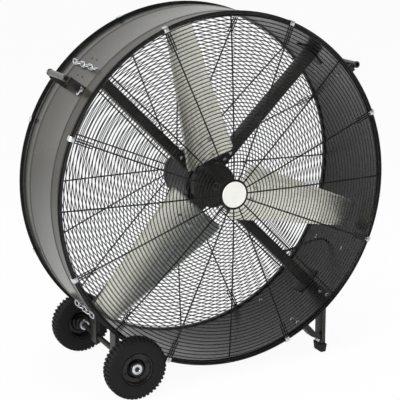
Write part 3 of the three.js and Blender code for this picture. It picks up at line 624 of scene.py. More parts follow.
def moulded_plastic(name, colour):
    """Spark-eroded plastic: fine grain, even tone."""
    look = Finish(name)
    grain = look.spots(1500)
    slow = look.noise(12, 3, 0.5)
    return look.done(
        look.tones(slow, colour, 1, 1.25), look.follow(slow, 0.46, 0.56),
        look.bump(grain, 0.18, 0.0004), IOR=1.48, Specular_IOR_Level=0.3)


def enamel(name, colour):
    """Smooth off-white paint on a pressed disc, a little uneven."""
    look = Finish(name)
    slow = look.noise(45, 3, 0.5)
    return look.done(
        look.tones(slow, colour, 0.97, 1.02), look.follow(slow, 0.32, 0.42),
        look.bump(look.noise(600, 2, 0.5), 0.04, 0.0004), IOR=1.5, Coat_Weight=0.2)


def laminated_iron(name):
    """Bare core sheets stacked along the fan axis."""
    look = Finish(name)
    layers = look.noise(1, 1, 0.5, look.mapping(scale=(0.2, 900, 0.2)))
    return look.done(
        look.blend(layers, (0.14, 0.12, 0.1), (0.3, 0.28, 0.25)),
        look.follow(layers, 0.45, 0.65), look.bump(layers, 0.3, 0.0005), Metallic=0.8)


FINISHES = {}


def make_finishes():
    colours = bpy.context.scene.fan_colours
    tint = {key: tuple(getattr(colours, key)) for key in FanColours.__annotations__}
    FINISHES.update({
        # the darker tone is the rims' paint and the painted shade inside the drum and before the
        # rear rim
        "drum": drum_coat("drum_coat", tint["drum"], shade(tint["steel"], 0.7)),
        "steel": powder_coat("steelwork_coat", tint["steel"], 0.4),
        "motor": powder_coat("motor_paint", tint["motor"], 0.38),
        "wire": powder_coat("guard_coat", tint["wire"], 0.34, 1200),
        "rim": powder_coat("wheel_enamel", shade(tint["motor"], 0.8), 0.2),
        "zinc": plated("zinc_plate", tint["zinc"]),
        "rubber": rubber("soft_rubber", tint["rubber"]),
        "tyre": rubber("tyre_rubber", shade(tint["rubber"], 0.6), 500),
        "lead": rubber("lead_sheath", shade(tint["steel"], 2.2), 900),
        "grip": satin_sleeve("grip_sleeve", tint["steel"]),
        "plastic": moulded_plastic("box_plastic", tint["plastic"]),
        "badge": enamel("badge_enamel", tint["badge"]),
        "core": laminated_iron("motor_core_iron"),
    })
    for i, angle in enumerate(BLADE_ANGLES, 1):
        FINISHES[f"blade_{i}"] = blade_metal(f"blade_metal_{i}", tint["blade"], angle)


# ------------------------------------------------------------------ drum

SEAM_ANGLE = -100


def drum_profile():
    """The rolled wall as (radius, along) pairs: outside from front to back, then the lining."""
    outside = []
    inside = []
    bead_place, bead_half, bead_height = 0.097, 0.006, 0.0025
    for side in (-1, 1):
        floor, lined = WALL_RADIUS - GROOVE, WALL_RADIUS - SHEET
        rim = [(radius, side * (HALF_DEPTH - back)) for radius, back in (
            (RIM_RADIUS, 0.0005), (RIM_RADIUS, 0.005), (floor, 0.010), (floor, 0.018),
            (WALL_RADIUS, 0.028))]
        lining = [(radius, side * (HALF_DEPTH - back)) for radius, back in (
            (lined, 0), (lined - GROOVE, 0.006), (lined - GROOVE, 0.018), (lined, 0.028))]
        bead = [(WALL_RADIUS + bead_height * lift, side * bead_place + step * bead_half)
                for step, lift in ((-1, 0), (-0.45, 0.8), (0, 1), (0.45, 0.8), (1, 0))]
        if side < 0:
            outside += rim + bead
            inside = lining
        else:
            outside += bead + rim[::-1]
            inside = lining + inside[::-1]
    return outside + inside


class FAN_OT_drum(bpy.types.Operator):
    """Drum: the rolled wall with its rims, grooves and beads, its lap seam and the seam's rivets"""
    bl_idname = "fan.drum"
    bl_label = "Drum"

    def execute(self, context):
        sizes = context.scene.fan_sizes
        shell = turned("drum_wall", drum_profile(), sizes.drum_steps, AXIS)
        bevel(shell, 0.0012, 2, 25)
        smooth(shell, 40)
        finish(shell, "black_steel", "drum", "drum_shell")

        finish(wall_plate("drum_seam", WALL_RADIUS - 0.001, WALL_RADIUS + 0.0016, 0.088, 0.013,
                          0.0006, SEAM_ANGLE), "black_steel", "drum")
        rivets = repeat(dome_master(0.0032, 0.0028, 0.0016), "drum_seam_rivets", [
            on_wall(WALL_RADIUS + 0.0014, 0, -0.075 + 0.03 * i) for i in range(6)])
        rivets.data.transform(turn_about(AXIS, SEAM_ANGLE))
        finish(rivets, "black_steel", "drum")

        inside = WALL_RADIUS - SHEET + 0.0002
        fasten("wall_nuts", bolt_master(BOLTS["wall"]), [
            aim(at_angle(inside, angle, along), -outward(angle), 15)
            for angle, along in INNER_NUTS])
        return {"FINISHED"}


# ------------------------------------------------------------------ guards, clips and badge

def guard_height(radius):
    return GUARD_DOME * (1 - (radius / GUARD_EDGE) ** 2)


def guard_place(side, radius, lift):
    """Where a wire's middle lies along the fan axis: lift counts from the guard's seat."""
    return side * (GUARD_SEAT + lift + guard_height(radius))


def guard_rings(side, sizes):
    """Concentric wires welded over the spokes, and a thicker one around the edge."""
    inner, outer = 0.058, 0.545
    lift = sizes.spoke_wire + sizes.ring_wire * 0.3
    pitch = (outer - inner) / (sizes.ring_count - 1)
    rings = [(inner + pitch * i, sizes.ring_wire / 2, lift) for i in range(sizes.ring_count)]
    edge_wire = 0.0025
    rings.append((GUARD_EDGE - edge_wire, edge_wire, edge_wire))
    deselect()
    bpy.ops.mesh.primitive_circle_add(vertices=3, radius=0.0001, location=(0, 0, 0))
    piece = bpy.context.object
    edit(piece)
    bpy.ops.mesh.delete(type="VERT")
    for radius, wire_radius, ring_lift in rings:
        place = (AXIS.x, guard_place(side, radius, ring_lift), AXIS.z)
        bpy.ops.mesh.primitive_torus_add(
            location=place, rotation=(math.pi / 2, 0, 0), generate_uvs=False,
            major_radius=radius, minor_radius=wire_radius, major_segments=120, minor_segments=6)
    leave_edit()
    return smooth(piece, 70)


def guard_spokes(side, sizes):
    """One spoke is drawn out along the dome and copied around."""
    inner, outer, steps = 0.040, GUARD_EDGE - 0.003, 10
    radius = sizes.spoke_wire / 2
    deselect()
    start = (inner, guard_place(side, inner, radius), AXIS.z)
    bpy.ops.mesh.primitive_circle_add(
        vertices=8, radius=radius, fill_type="NGON", location=start, rotation=(0, math.pi / 2, 0))
    spoke = settle(bpy.context.object)
    edit(spoke)
    length = (outer - inner) / steps
    for i in range(steps):
        here, there = inner + i * length, inner + (i + 1) * length
        rise = guard_place(side, there, radius) - guard_place(side, here, radius)
        bpy.ops.mesh.extrude_region_move(TRANSFORM_OT_translate={"value": (length, rise, 0)})
    leave_edit()
    smooth(tidy(spoke), 50)
    turn = 360 / sizes.spoke_count
    return repeat(spoke, "spokes", [turn_about(AXIS, i * turn) for i in range(sizes.spoke_count)])


def guard_hairpins(side, sizes):
    """At each clip a bent wire runs beside the spoke, round the screw and back."""
    inner, outer, half = 0.488, GUARD_EDGE - 0.006, 0.007
    radius = sizes.spoke_wire / 2

    def place(at_radius, across):
        return at_angle(at_radius, 0, guard_place(side, at_radius, radius), across)

    bend = [place(outer - half + half * math.sin(t), half * math.cos(t))
            for t in [math.pi * i / 8 for i in range(9)]]
    run = [place(inner + (outer - half - inner) * i / 3, half) for i in range(3)]
    back = [place(inner + (outer - half - inner) * i / 3, -half) for i in (2, 1, 0)]
    pin = wire("hairpin", run + bend + back, radius * 0.8)
    return repeat(pin, "hairpins", [turn_about(AXIS, angle) for angle in CLIP_ANGLES])


def guard_plate(side):
    """The dished plate in the guard's middle, with a raised rim round the badge."""
    seat = abs(guard_place(1, 0.03, 0))
    profile = [
        (0, -0.001), (0.044, -0.001), (0.0465, 0.0005), (0.0480, 0.004), (0.0470, 0.0062),
        (0.0450, 0.0062), (0.0435, 0.0035), (0.0420, 0.003), (0, 0.003),
    ]
    return turned("plate", [(r, side * (seat + y)) for r, y in profile], 64, closed=False)


class FAN_OT_guards(bpy.types.Operator):
    """Guards: rings, spokes, hairpins and middle plate at the front and at the back"""
    bl_idname = "fan.guards"
    bl_label = "Guards"

    def execute(self, context):
        sizes = context.scene.fan_sizes
        for side, node in ((-1, "front_grille"), (1, "rear_grille")):
            parts = [make(side, sizes) for make in (guard_rings, guard_spokes, guard_hairpins)]
            parts.append(guard_plate(side))
            guard = join(node.replace("grille", "guard_wires"), parts)
            finish(guard, "guard_wire", "wire", node)
        return {"FINISHED"}


def clip_master(side):
    """A bent strap over the guard's edge wire and down the rim, at angle 0."""
    half, thick = 0.0075, 0.002
    top = GUARD_SEAT + 0.0062
    inner, outer, foot = GUARD_EDGE - 0.013, RIM_RADIUS + 0.0006, HALF_DEPTH - 0.014
    path = [(inner, top - 0.0022), (inner + 0.004, top), (outer - 0.001, top),
            (outer + thick, top - 0.003), (outer + thick, foot)]
    under = [(outer, foot), (outer, top - 0.0035), (outer - 0.0015, top - thick),
             (inner + 0.004, top - thick), (inner, top - 0.0022 - thick)]
    outline = [Vector((r, side * y, AXIS.z - half)) for r, y in path + under]
    mesh = bpy.data.meshes.new("clip")
    mesh.from_pydata(outline, [], [list(range(len(outline)))])
    clip = new_piece("clip", mesh)
    edit(clip)
    bpy.ops.mesh.extrude_region_move(TRANSFORM_OT_translate={"value": (0, 0, 2 * half)})
    leave_edit()
    tidy(clip)
    bevel(clip, 0.0006, 2, 25)
    screw = screw_master(SCREWS["clip"])
    screw.data.transform(aim((GUARD_EDGE - 0.003, side * top, AXIS.z), (0, side, 0)))
    return smooth(join("clip", [clip, screw]), 30)


class FAN_OT_guard_clips(bpy.types.Operator):
    """Guard clips: eight plated straps with their screws on each guard"""
    bl_idname = "fan.guard_clips"
    bl_label = "Guard clips"

    def execute(self, context):
        for side, place in ((-1, "front"), (1, "rear")):
            master = clip_master(side)
            for i, angle in enumerate(CLIP_ANGLES):
                clip = copy_at(master, f"{place}_clip_{i + 1}", turn_about(AXIS, angle))
                nodes = (f"grille_clip_{i + 1}",) if side < 0 else ()
                finish(clip, "zinc", "zinc", *nodes)
            bpy.data.objects.remove(master)
        return {"FINISHED"}


class FAN_OT_badge(bpy.types.Operator):
    """Badge: the plain pressed disc in the middle of the front guard"""
    bl_idname = "fan.badge"
    bl_label = "Badge"

    def execute(self, context):
        low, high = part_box("badge_disc")
        radius = (high.x - low.x) / 2
        back, front = high.y - 0.0003, low.y - 0.0012
        profile = [(0, back), (radius - 0.0015, back), (radius, back - 0.0008)]
        profile += [(radius - less, front + lift) for less, lift in (
            (0, 0.0018), (0.0012, 0.0006), (0.0035, 0.0002), (0.006, 0.0009))]
        profile += [(radius * 0.5, front + 0.0004), (0, front)]
        disc = turned("badge", profile, 72, closed=False)
        finish(disc, "badge_paint", "badge", "badge_disc")
        return {"FINISHED"}


# ------------------------------------------------------------------ motor and its arms

BELL_BOLT_RING = 0.066


def rolled_housing(low, high):
    """A plain rolled barrel with a lip where each end bell sits."""
    lip, step = 0.006, 0.0012
    side = [(MOTOR_RADIUS, 0), (MOTOR_RADIUS, lip), (MOTOR_RADIUS - step, lip + step)]
    outside = [(r, low.y + y) for r, y in side] + [(r, high.y - y) for r, y in side[::-1]]
    inner = MOTOR_RADIUS - 0.004
    profile = outside + [(inner, high.y), (inner, low.y)]
    return turned("motor_barrel", profile, 96)


class FAN_OT_motor(bpy.types.Operator):
    """Motor: plain rolled housing, end bells with their bolts, and the finishes of the bearings,
    stator and rotor
    """
    bl_idname = "fan.motor"
    bl_label = "Motor"

    def execute(self, context):
        low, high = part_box("motor_housing")
        finish(rolled_housing(low, high), "motor_paint", "motor", "motor_housing")
        for node, side in (("motor_front_bell", -1), ("motor_rear_bell", 1)):
            low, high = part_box(node)
            joint, nose = (high.y, low.y) if side < 0 else (low.y, high.y)
            bore = 0.0125 if side < 0 else 0
            corner, dish = 0.006, 0.0035
            profile = [(bore, joint), (MOTOR_RADIUS, joint)]
            profile += [(MOTOR_RADIUS - corner + x, nose - side * corner + side * y)
                        for x, y in arc((0, 0), corner, 0, 90, 6)]
            profile += [(radius, nose - side * deep) for radius, deep in (
                (0.058, 0.0005), (0.052, dish), (0.036, dish), (0.032, 0), (bore, 0))]
            bell = turned(f"{node}_cast", profile, 96, closed=bool(bore))
            finish(bell, "motor_paint", "motor", node)
            fasten(f"{node}_bolts", bolt_master(BOLTS["bell"]), [
                aim(at_angle(BELL_BOLT_RING, 45 + 90 * i, nose - side * 0.0002), (0, side, 0))
                for i in range(4)])
        for node, look in (("bearing_front", "zinc"), ("bearing_rear", "zinc"),
                           ("stator", "core"), ("rotor", "core")):
            paint_node(f"motor_{node}", look)
        return {"FINISHED"}


# where an arm's web lies along the axis, its studs' radii, and its rivets along and across
ARM_WEB = -0.0146
ARM_STUDS = (0.094, 0.122)
ARM_RIVETS, ARM_HALF = (-0.012, 0.028), 0.034


class FAN_OT_motor_arms(bpy.types.Operator):
    """Motor arms: four folded channels with rounded edges, bolted to the wall and to the motor"""
    bl_idname = "fan.motor_arms"
    bl_label = "Motor arms"

    def execute(self, context):
        edge = context.scene.fan_sizes.edge_round
        for corner, angle in zip(ARM_CORNERS, ARM_ANGLES):
            dress(f"motor_arm_{corner}", edge)
            fasten(f"arm_rivets_{corner}", dome_master(0.0035, 0.0010, 0.0007), [
                on_wall(WALL_RADIUS - 0.0008, angle, along, across)
                for along in ARM_RIVETS for across in (-ARM_HALF, ARM_HALF)],
                "black_steel", "drum")
            fasten(f"arm_studs_{corner}", bolt_master(BOLTS["arm"]), [
                aim(at_angle(radius, angle, ARM_WEB), (0, -1, 0), 20) for radius in ARM_STUDS])
        return {"FINISHED"}


# ------------------------------------------------------------------ blades and hub

BLADE_ROOT, BLADE_TIP = 0.086, 0.533
ROOT_CHORD, TIP_CHORD = 0.203, 0.090
ROOT_PITCH, TIP_PITCH, PITCH_EASE = 16.5, 6.2, 3
ROOT_OFFSET, TIP_OFFSET = -0.087, -0.0765
ROOT_SWEEP, TIP_SWEEP = -0.0035, -0.007
BLADE_CAMBER = 0.013
BLADE_BOLT_RADII, BLADE_BOLT_HALF = (0.094, 0.146), 0.021


def mix(start, end, share):
    return start + (end - start) * share


def blade_point(share, across, depth=0):
    """share runs from root to tip, across from -1 to 1 over the chord, depth through the sheet."""
    chord = mix(ROOT_CHORD, TIP_CHORD, share)
    pitch = math.radians(mix(ROOT_PITCH, TIP_PITCH, share ** PITCH_EASE))
    along = across * chord / 2
    camber = BLADE_CAMBER * mix(1, TIP_CHORD / ROOT_CHORD, share)
    back = camber * (1 - across * across) + depth
    radius = mix(BLADE_ROOT, BLADE_TIP, share)
    y = mix(ROOT_OFFSET, TIP_OFFSET, share) - along * math.sin(pitch) + back * math.cos(pitch)
    z = mix(ROOT_SWEEP, TIP_SWEEP, share) + along * math.cos(pitch) + back * math.sin(pitch)
    return Vector((radius, y, AXIS.z + z))


def blade_sheet(sizes):
    """A grid shaped to the twisted, hollow sheet, its corners rounded, then given its thickness."""
    long, wide, corner = 36, 16, 0.014
    deselect()
    bpy.ops.mesh.primitive_grid_add(x_subdivisions=long, y_subdivisions=wide, size=2)
    piece = bpy.context.object
    for vertex in piece.data.vertices:
        share, across = (vertex.co.x + 1) / 2, vertex.co.y
        half = mix(ROOT_CHORD, TIP_CHORD, share) / 2
        from_side = half * (1 - abs(across))
        span = BLADE_TIP - BLADE_ROOT
        for end in (share * span, (1 - share) * span):
            if end < corner and from_side < corner:
                reach = math.hypot(corner - end, corner - from_side)
                if reach > corner:
                    pull = (reach - corner) / reach
                    across -= math.copysign((corner - from_side) * pull / half, across)
                    share += (corner - end) * pull / span * (1 if share < 0.5 else -1)
        vertex.co = blade_point(share, across)
    add_modifier(piece, "SOLIDIFY", thickness=sizes.blade_sheet, offset=0)
    tidy(piece)
    bevel(piece, 0.0006, 2, 50)
    return smooth(piece, 40)


class FAN_OT_blades(bpy.types.Operator):
    """Blades: three twisted sheets, each with the four bolts that hold it to the hub's arm"""
    bl_idname = "fan.blades"
    bl_label = "Blades"

    def execute(self, context):
        sizes = context.scene.fan_sizes
        master = blade_sheet(sizes)
        span = BLADE_TIP - BLADE_ROOT
        for i, angle in enumerate(BLADE_ANGLES):
            blade = copy_at(master, f"blade_sheet_{i + 1}", turn_about(AXIS, angle))
            finish(blade, "blade_sheet", f"blade_{i + 1}", f"blade_{i + 1}", body="rotor")
            places = []
            for radius in BLADE_BOLT_RADII:
                share = (radius - BLADE_ROOT) / span
                for across in (-BLADE_BOLT_HALF, BLADE_BOLT_HALF):
                    over = across / (mix(ROOT_CHORD, TIP_CHORD, share) / 2)
                    point, deeper = (
                        blade_point(share, over, end * sizes.blade_sheet / 2) for end in (-1, 1))
                    places.append(turn_about(AXIS, angle) @ aim(point, point - deeper, 10))
            fasten(f"blade_bolts_{i + 1}", bolt_master(BOLTS["blade"]), places, body="rotor")
        bpy.data.objects.remove(master)
        return {"FINISHED"}


class FAN_OT_hub(bpy.types.Operator):
    """Hub: the spider that carries the blades, its boss and the nut on the shaft"""
    bl_idname = "fan.hub"
    bl_label = "Hub"

    def execute(self, context):
        dress("blade_hub", 0.001, "motor_paint", "motor", "rotor")
        inner, outer, front, back = 0.070, 0.072, -0.062, -0.049
        skirt = turned(
            "hub_skirt", [(inner, front), (outer, front), (outer, back), (inner, back)], 64)
        finish(skirt, "motor_paint", "motor", body="rotor")
        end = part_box("motor_rotor")[0].y + 0.004
        fasten("shaft_nut", bolt_master(BOLTS["shaft"]), [aim((AXIS.x, end, AXIS.z), (0, -1, 0))],
               look="steel", body="rotor")
        return {"FINISHED"}


# ------------------------------------------------------------------ wheels and axle

def tyre_master(centre, sizes):
    """A blown-up section with blocks drawn out of its tread, staggered from side to side."""
    tread = TYRE_RADIUS - 0.0045
    seat = 0.0503
    half = [
        (seat, 0.019), (0.0525, 0.0232), (0.058, 0.0242), (0.066, 0.0248), (0.074, 0.0249),
        (0.082, 0.0243), (0.088, 0.0225), (0.0915, 0.0190), (tread - 0.0006, 0.0145),
        (tread, 0.008), (tread, 0.0016),
    ]
    profile = [(r, -y) for r, y in half] + [(r, y) for r, y in half[::-1]]
    tyre = turned("tyre", profile, sizes.tread_blocks * 2, centre)

    def on_block(polygon):
        spot = polygon.center - Vector(centre)
        step = int(math.degrees(math.atan2(spot.z, spot.x)) % 360 / (180 / sizes.tread_blocks))
        staggered = (step + (1 if spot.y > 0 else 0)) % 2 == 1
        return staggered and math.hypot(spot.x, spot.z) > 0.0845 and abs(spot.y) > 0.001

    edit_faces(tyre, on_block)
    bpy.ops.mesh.extrude_region_move()
    lift = TYRE_RADIUS / tread * 0.9995
    bpy.ops.transform.resize(value=(lift, 1, lift), center_override=tuple(centre))
    leave_edit()
    tidy(tyre)
    return smooth(tyre, 38)


def wheel_master(centre):
    """The pressed wheel, facing -Y: a barrel with turned-out edges, a dished face, a hub tube."""
    profile = [
        (0.0495, -0.0215), (0.0480, -0.0222), (0.0460, -0.0210), (0.0452, -0.0150),
        (0.0440, -0.0115), (0.0410, -0.0105), (0.0310, -0.0105), (0.0290, -0.0090),
        (0.0275, -0.0020), (0.0245, 0.0005), (0.0222, 0.0005), (0.0220, -0.0190),
        (0.0212, -0.0200), (0.0170, -0.0200), (0.0168, -0.0078),
        (0.0112, -0.0078), (0.0112, 0.0200), (0.0212, 0.0200), (0.0220, 0.0190), (0.0222, 0.0035),
        (0.0260, 0.0035), (0.0300, 0.0010), (0.0315, -0.0070), (0.0420, -0.0070), (0.0440, -0.0060),
        (0.0455, 0.0050), (0.0460, 0.0210), (0.0480, 0.0222), (0.0495, 0.0215),
    ]
    wheel = turned("wheel", profile, 96, centre)
    bevel(wheel, 0.0005, 2, 40)
    smooth(wheel, 40)
    face, ring = Vector(centre) + Vector((0, -0.0106, 0)), 0.0365
    spots = [aim(face + outward(20 + 90 * i) * ring, (0, -1, 0), 30) for i in range(4)]
    return wheel, repeat(bolt_master(BOLTS["wheel"]), "wheel_bolts", spots)


def bearing_master(centre):
    """Two races with a seal between them."""
    back, front = -0.0088, -0.0199
    profile = [
        (0.0079, back), (0.0163, back), (0.0163, front + 0.0005), (0.0158, front), (0.0135, front),
        (0.0132, front + 0.0012), (0.0106, front + 0.0012), (0.0103, front), (0.0084, front),
        (0.0079, front + 0.0006),
    ]
    return turned("bearing", profile, 48, centre)


class FAN_OT_wheels(bpy.types.Operator):
    """Wheels: tyres with their tread, pressed wheels with their screws, and bearings"""
    bl_idname = "fan.wheels"
    bl_label = "Wheels"

    def execute(self, context):
        sizes = context.scene.fan_sizes
        centre = WHEEL_FRONT
        tyre = tyre_master(centre, sizes)
        wheel, bolts = wheel_master(centre)
        bearing = bearing_master(centre)
        half_turn = (Matrix.Translation(WHEEL_REAR) @ Matrix.Rotation(math.pi, 4, "Z")
                     @ Matrix.Translation(-Vector(centre)))
        for master, slot, look, node in (
                (tyre, "tyre_rubber", "tyre", "tyre"), (wheel, "motor_paint", "rim", "wheel_rim"),
                (bolts, "zinc", "rim", None), (bearing, "zinc", "zinc", "wheel_bearing")):
            for side, matrix in (("front", Matrix.Identity(4)), ("rear", half_turn)):
                piece = copy_at(master, f"{master.name}_{side}_made", matrix)
                nodes = (f"{node}_{side}",) if node else ()
                finish(piece, slot, look, *nodes, body=f"wheel_{side}")
            bpy.data.objects.remove(master)
        return {"FINISHED"}


class FAN_OT_axle(bpy.types.Operator):
    """Axle: the bar, its collars with their set screws, and the posts that carry it"""
    bl_idname = "fan.axle"
    bl_label = "Axle and posts"

    def execute(self, context):
        edge = context.scene.fan_sizes.edge_round
        dress("axle", 0.0006)
        for side in ("front", "rear"):
            node = f"axle_collar_{side}"
            dress(node, 0.0012, "zinc", "zinc")
            top = middle(node) + Vector((0, 0, extent(node).z / 2 - 0.0006))
            fasten(f"collar_screw_{side}", screw_master(SCREWS["collar"]), [aim(top, (0, 0, 1))])
            dress(f"axle_post_{side}", edge)
        return {"FINISHED"}


# ------------------------------------------------------------------ legs

class FAN_OT_legs(bpy.types.Operator):
    """Legs: two channels with their braces, bolts and rubber feet"""
    bl_idname = "fan.legs"
    bl_label = "Legs"

    def execute(self, context):
        edge = context.scene.fan_sizes.edge_round
        for side in ("front", "rear"):
            dress(f"leg_{side}", edge)
            dress(f"leg_brace_{side}", edge)
            foot = f"rubber_foot_{side}"
            dress(foot, 0.0016, "soft_rubber", "rubber")
            spot = (LEG_WEB - 0.0002, middle(foot).y, LEG_BOLT_HEIGHT)
            fasten(f"leg_bolt_{side}", bolt_master(BOLTS["leg"]), [aim(spot, (-1, 0, 0))])
        return {"FINISHED"}


# ------------------------------------------------------------------ handles, link and chains

def grip_master(side_angle):
    """A smooth sleeve with a round flange at each end, drawn at angle 0."""
    low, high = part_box("handle_grip_left")
    bore, sleeve, flange, width = 0.0068, 0.0095, 0.0114, 0.004
    front = [(radius, low.y + along) for radius, along in (
        (bore, 0.0002), (flange - 0.0012, 0.0002), (flange, 0.0014), (flange, width),
        (flange - 0.0006, width + 0.0006), (sleeve, width + 0.0018))]
    back = [(r, low.y + high.y - y) for r, y in reversed(front)]
    grip = turned("grip", front + back, 48, (AXIS.x + GRIP_REACH, 0, AXIS.z), angle=30)
    grip.data.transform(turn_about(AXIS, side_angle))
    return grip


class FAN_OT_handles(bpy.types.Operator):
    """Handles: two bent bars on risers, with their bolts and moulded grips"""
    bl_idname = "fan.handles"
    bl_label = "Handles"

    def execute(self, context):
        edge = context.scene.fan_sizes.edge_round
        for side, angle in HANDLE_ANGLES.items():
            dress(f"handle_bracket_{side}", edge)
            grip = grip_master(angle)
            grip.name = f"handle_sleeve_{side}"
            finish(grip, "soft_rubber", "grip", f"handle_grip_{side}")
            fasten(f"handle_bolts_{side}", bolt_master(BOLTS["handle"]), [
                on_wall(WALL_RADIUS + 0.006, angle, along, spin=15) for along in HANDLE_BOLTS])
        return {"FINISHED"}


def link_points(length, width, wire_radius):
    """The middle line of a link, long along Y, flat in the YZ plane, around the origin."""
    bend = width / 2 - wire_radius
    straight = (length - width) / 2
    points = []
    for end in (1, -1):
        for i in range(9):
            turn = math.pi * i / 8 - math.pi / 2
            along, up = straight + bend * math.cos(turn), bend * math.sin(turn)
            points.append(Vector((0, end * along, end * up)))
    return points


class FAN_OT_chains(bpy.types.Operator):
    """Chains: welded links in turn leaning to either side, and the quick link on the left handle"""
    bl_idname = "fan.chains"
    bl_label = "Chains and link"

    def execute(self, context):
        sizes = context.scene.fan_sizes
        radius = sizes.chain_wire / 2
        length, width = CHAIN_PITCH + 2 * sizes.chain_wire - 0.0006, 0.019
        for place, (angle, count) in CHAINS.items():
            node = f"chain_{place}"
            spot = middle(node)
            link = wire("link", link_points(length, width, radius), radius, closed=True, sides=3)
            places = []
            for i in range(count):
                centre = spot + Vector((0, (i - (count - 1) / 2) * CHAIN_PITCH, 0))
                tilt = 45 if i % 2 else -45
                places.append(Matrix.Translation(centre) @ lean(angle + tilt))
            chain = repeat(link, f"{node}_links", places)
            finish(chain, "zinc", "zinc", node)

        spot = middle("quick_link")
        length, width, wire_radius, half_nut = 0.029, 0.017, 0.00225, 0.005
        points = link_points(length, width, wire_radius)
        loop = wire("quick_link_loop", points, wire_radius, closed=True, sides=4)
        loop.data.transform(Matrix.Rotation(math.pi / 2, 4, "X"))
        nut = cylinder("sleeve", 0.0036, 2 * half_nut, (0, 0, -half_nut), 6)
        bevel(nut, 0.0004)
        nut.data.transform(Matrix.Translation((0, wire_radius - width / 2, 0)))
        loop = join("quick_link_made", [loop, nut])
        loop.data.transform(Matrix.Translation(spot) @ lean(HANDLE_ANGLES["left"]))
        finish(loop, "zinc", "zinc", "quick_link", body="link")
        return {"FINISHED"}


# ------------------------------------------------------------------ control box and lead

BOX_ANGLE = -29
DIAL_TURNS = (90, 50, 10, -30)


class FAN_OT_controls(bpy.types.Operator):
    """Controls: the box with its cover, the speed knob and its dial, the gland, the motor lead"""
    bl_idname = "fan.controls"
    bl_label = "Control box"

    def execute(self, context):
        dress("control_box", 0.003, "box_plastic", "plastic")
        reach = WALL_RADIUS + 0.054
        finish(wall_plate("box_cover", reach - 0.0005, reach + 0.0020, 0.088, 0.040, 0.0012,
                          BOX_ANGLE), "box_plastic", "plastic")
        fasten("box_screws", screw_master(SCREWS["box"]), [
            on_wall(reach + 0.0019, BOX_ANGLE, along, across, 20)
            for along in (-0.080, 0.080) for across in (-0.033, 0.033)])

        knob = middle("speed_knob")
        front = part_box("speed_knob")[0].y
        dress("speed_knob", 0.0012, "box_plastic", "plastic", "knob")
        half, foot, tip = 0.0008, 0.003, 0.0145
        pointer = box_between(
            "knob_pointer", (knob.x - half, front - half / 2, knob.z + foot),
            (knob.x + half, front + half, knob.z + tip))
        pointer.data.transform(turn_about(Vector((knob.x, 0, knob.z)), BOX_ANGLE))
        finish(pointer, "badge_paint", "badge", body="knob")
        face = Vector((knob.x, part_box("control_box")[0].y, knob.z))
        mark = bevel(cylinder("mark", 0.0012, 0.0006, sides=12), 0.0002)
        fasten("dial_marks", mark, [
            aim(face + outward(turn + BOX_ANGLE) * 0.024, (0, -1, 0)) for turn in DIAL_TURNS],
            "badge_paint", "badge")
        dress("cord_gland", 0.0008, "box_plastic", "plastic")
        dress("motor_lead", 0, "soft_rubber", "lead", angle=60)
        paint_node("speed_switch", "plastic")
        paint_node("run_capacitor", "zinc")
        return {"FINISHED"}


# ------------------------------------------------------------------ stage, camera and light

WHITE, PAPER = (1, 1, 1), (0.9, 0.9, 0.9)
FLOOR_SIZE, FLOOR_LEVEL = 40, -0.0006
ROOM_TONE = (0.035, 0.05, 0.065)
# where the dark room fades in, by the direction's share along Y and along Z
ROOM_SIDES, ROOM_FOOT = (0.25, -0.35), (0.0, 0.08)
SOFT_TONE, SOFT_LEVEL = (0.95, 0.97, 1), 0.5
# how much of the floor's tone is plain white, for the camera and in what shines
FLOOR_SEEN, FLOOR_MIRRORED = 0.94, 0.6
# name, place, size in metres, watts, and whether what shines shows it
LAMPS = (
    ("key_left", (-3.6, -1.6, 2.2), 2.6, 130, True),
    ("front_fill", (0.6, -4.6, 2.4), 3.0, 45, False),
    ("top_soft", (0.3, -0.4, 4.2), 3.0, 60, False),
    ("right_fill", (3.4, -2.2, 1.6), 2.0, 20, False),
)
LAMP_TARGET = Vector((0, 0, 0.6))


def either(tree, share, first, second):
    """The first shader, giving way to the second as far as the share says."""
    return add_node(tree, "MixShader", share, first, second).outputs[0]


def glow(tree, colour, strength=1, kind="Background"):
    return add_node(tree, kind, (*colour, 1), strength).outputs[0]


def rays(tree):
    """Whether the camera looks, and whether something shiny or clear looks."""
    path = add_node(tree, "LightPath").outputs
    return path["Is Camera Ray"], calculate(
        tree, "ADD", path["Is Glossy Ray"], path["Is Transmission Ray"], True)


def make_world():
    """White for the camera. What shines sees a dark room above the floor, in front of the fan."""
    world = bpy.data.worlds.new("studio")
    bpy.context.scene.world = world
    world.use_nodes = True
    tree = world.node_tree
    tree.nodes.clear()
    way = add_node(tree, "SeparateXYZ", add_node(tree, "TexCoord").outputs["Generated"]).outputs
    in_front = add_node(tree, "MapRange", way[1], *ROOM_SIDES).outputs[0]
    above = add_node(tree, "MapRange", way[2], *ROOM_FOOT).outputs[0]
    dark = calculate(tree, "MULTIPLY", in_front, above, True)
    camera, shiny = rays(tree)
    white = glow(tree, WHITE)
    mirrored = either(tree, dark, white, glow(tree, ROOM_TONE))
    lit = either(tree, shiny, glow(tree, SOFT_TONE, SOFT_LEVEL), mirrored)
    seen = either(tree, camera, lit, white)
    add_node(tree, "OutputWorld", seen)


def floor_material():
    """Pale floor that reads as white paper, and keeps part of the fan's shadow."""
    material = bpy.data.materials.new("pale_floor")
    material.use_nodes = True
    tree = material.node_tree
    tree.nodes.clear()
    camera, shiny = rays(tree)
    shares = [calculate(tree, "MULTIPLY", ray, part, True) for ray, part in (
        (camera, FLOOR_SEEN), (shiny, FLOOR_MIRRORED))]
    share = calculate(tree, "ADD", *shares, True)
    matt = add_node(tree, "BsdfDiffuse", (*PAPER, 1)).outputs[0]
    mixed = either(tree, share, matt, glow(tree, WHITE, kind="Emission"))
    add_node(tree, "OutputMaterial", mixed)
    return material


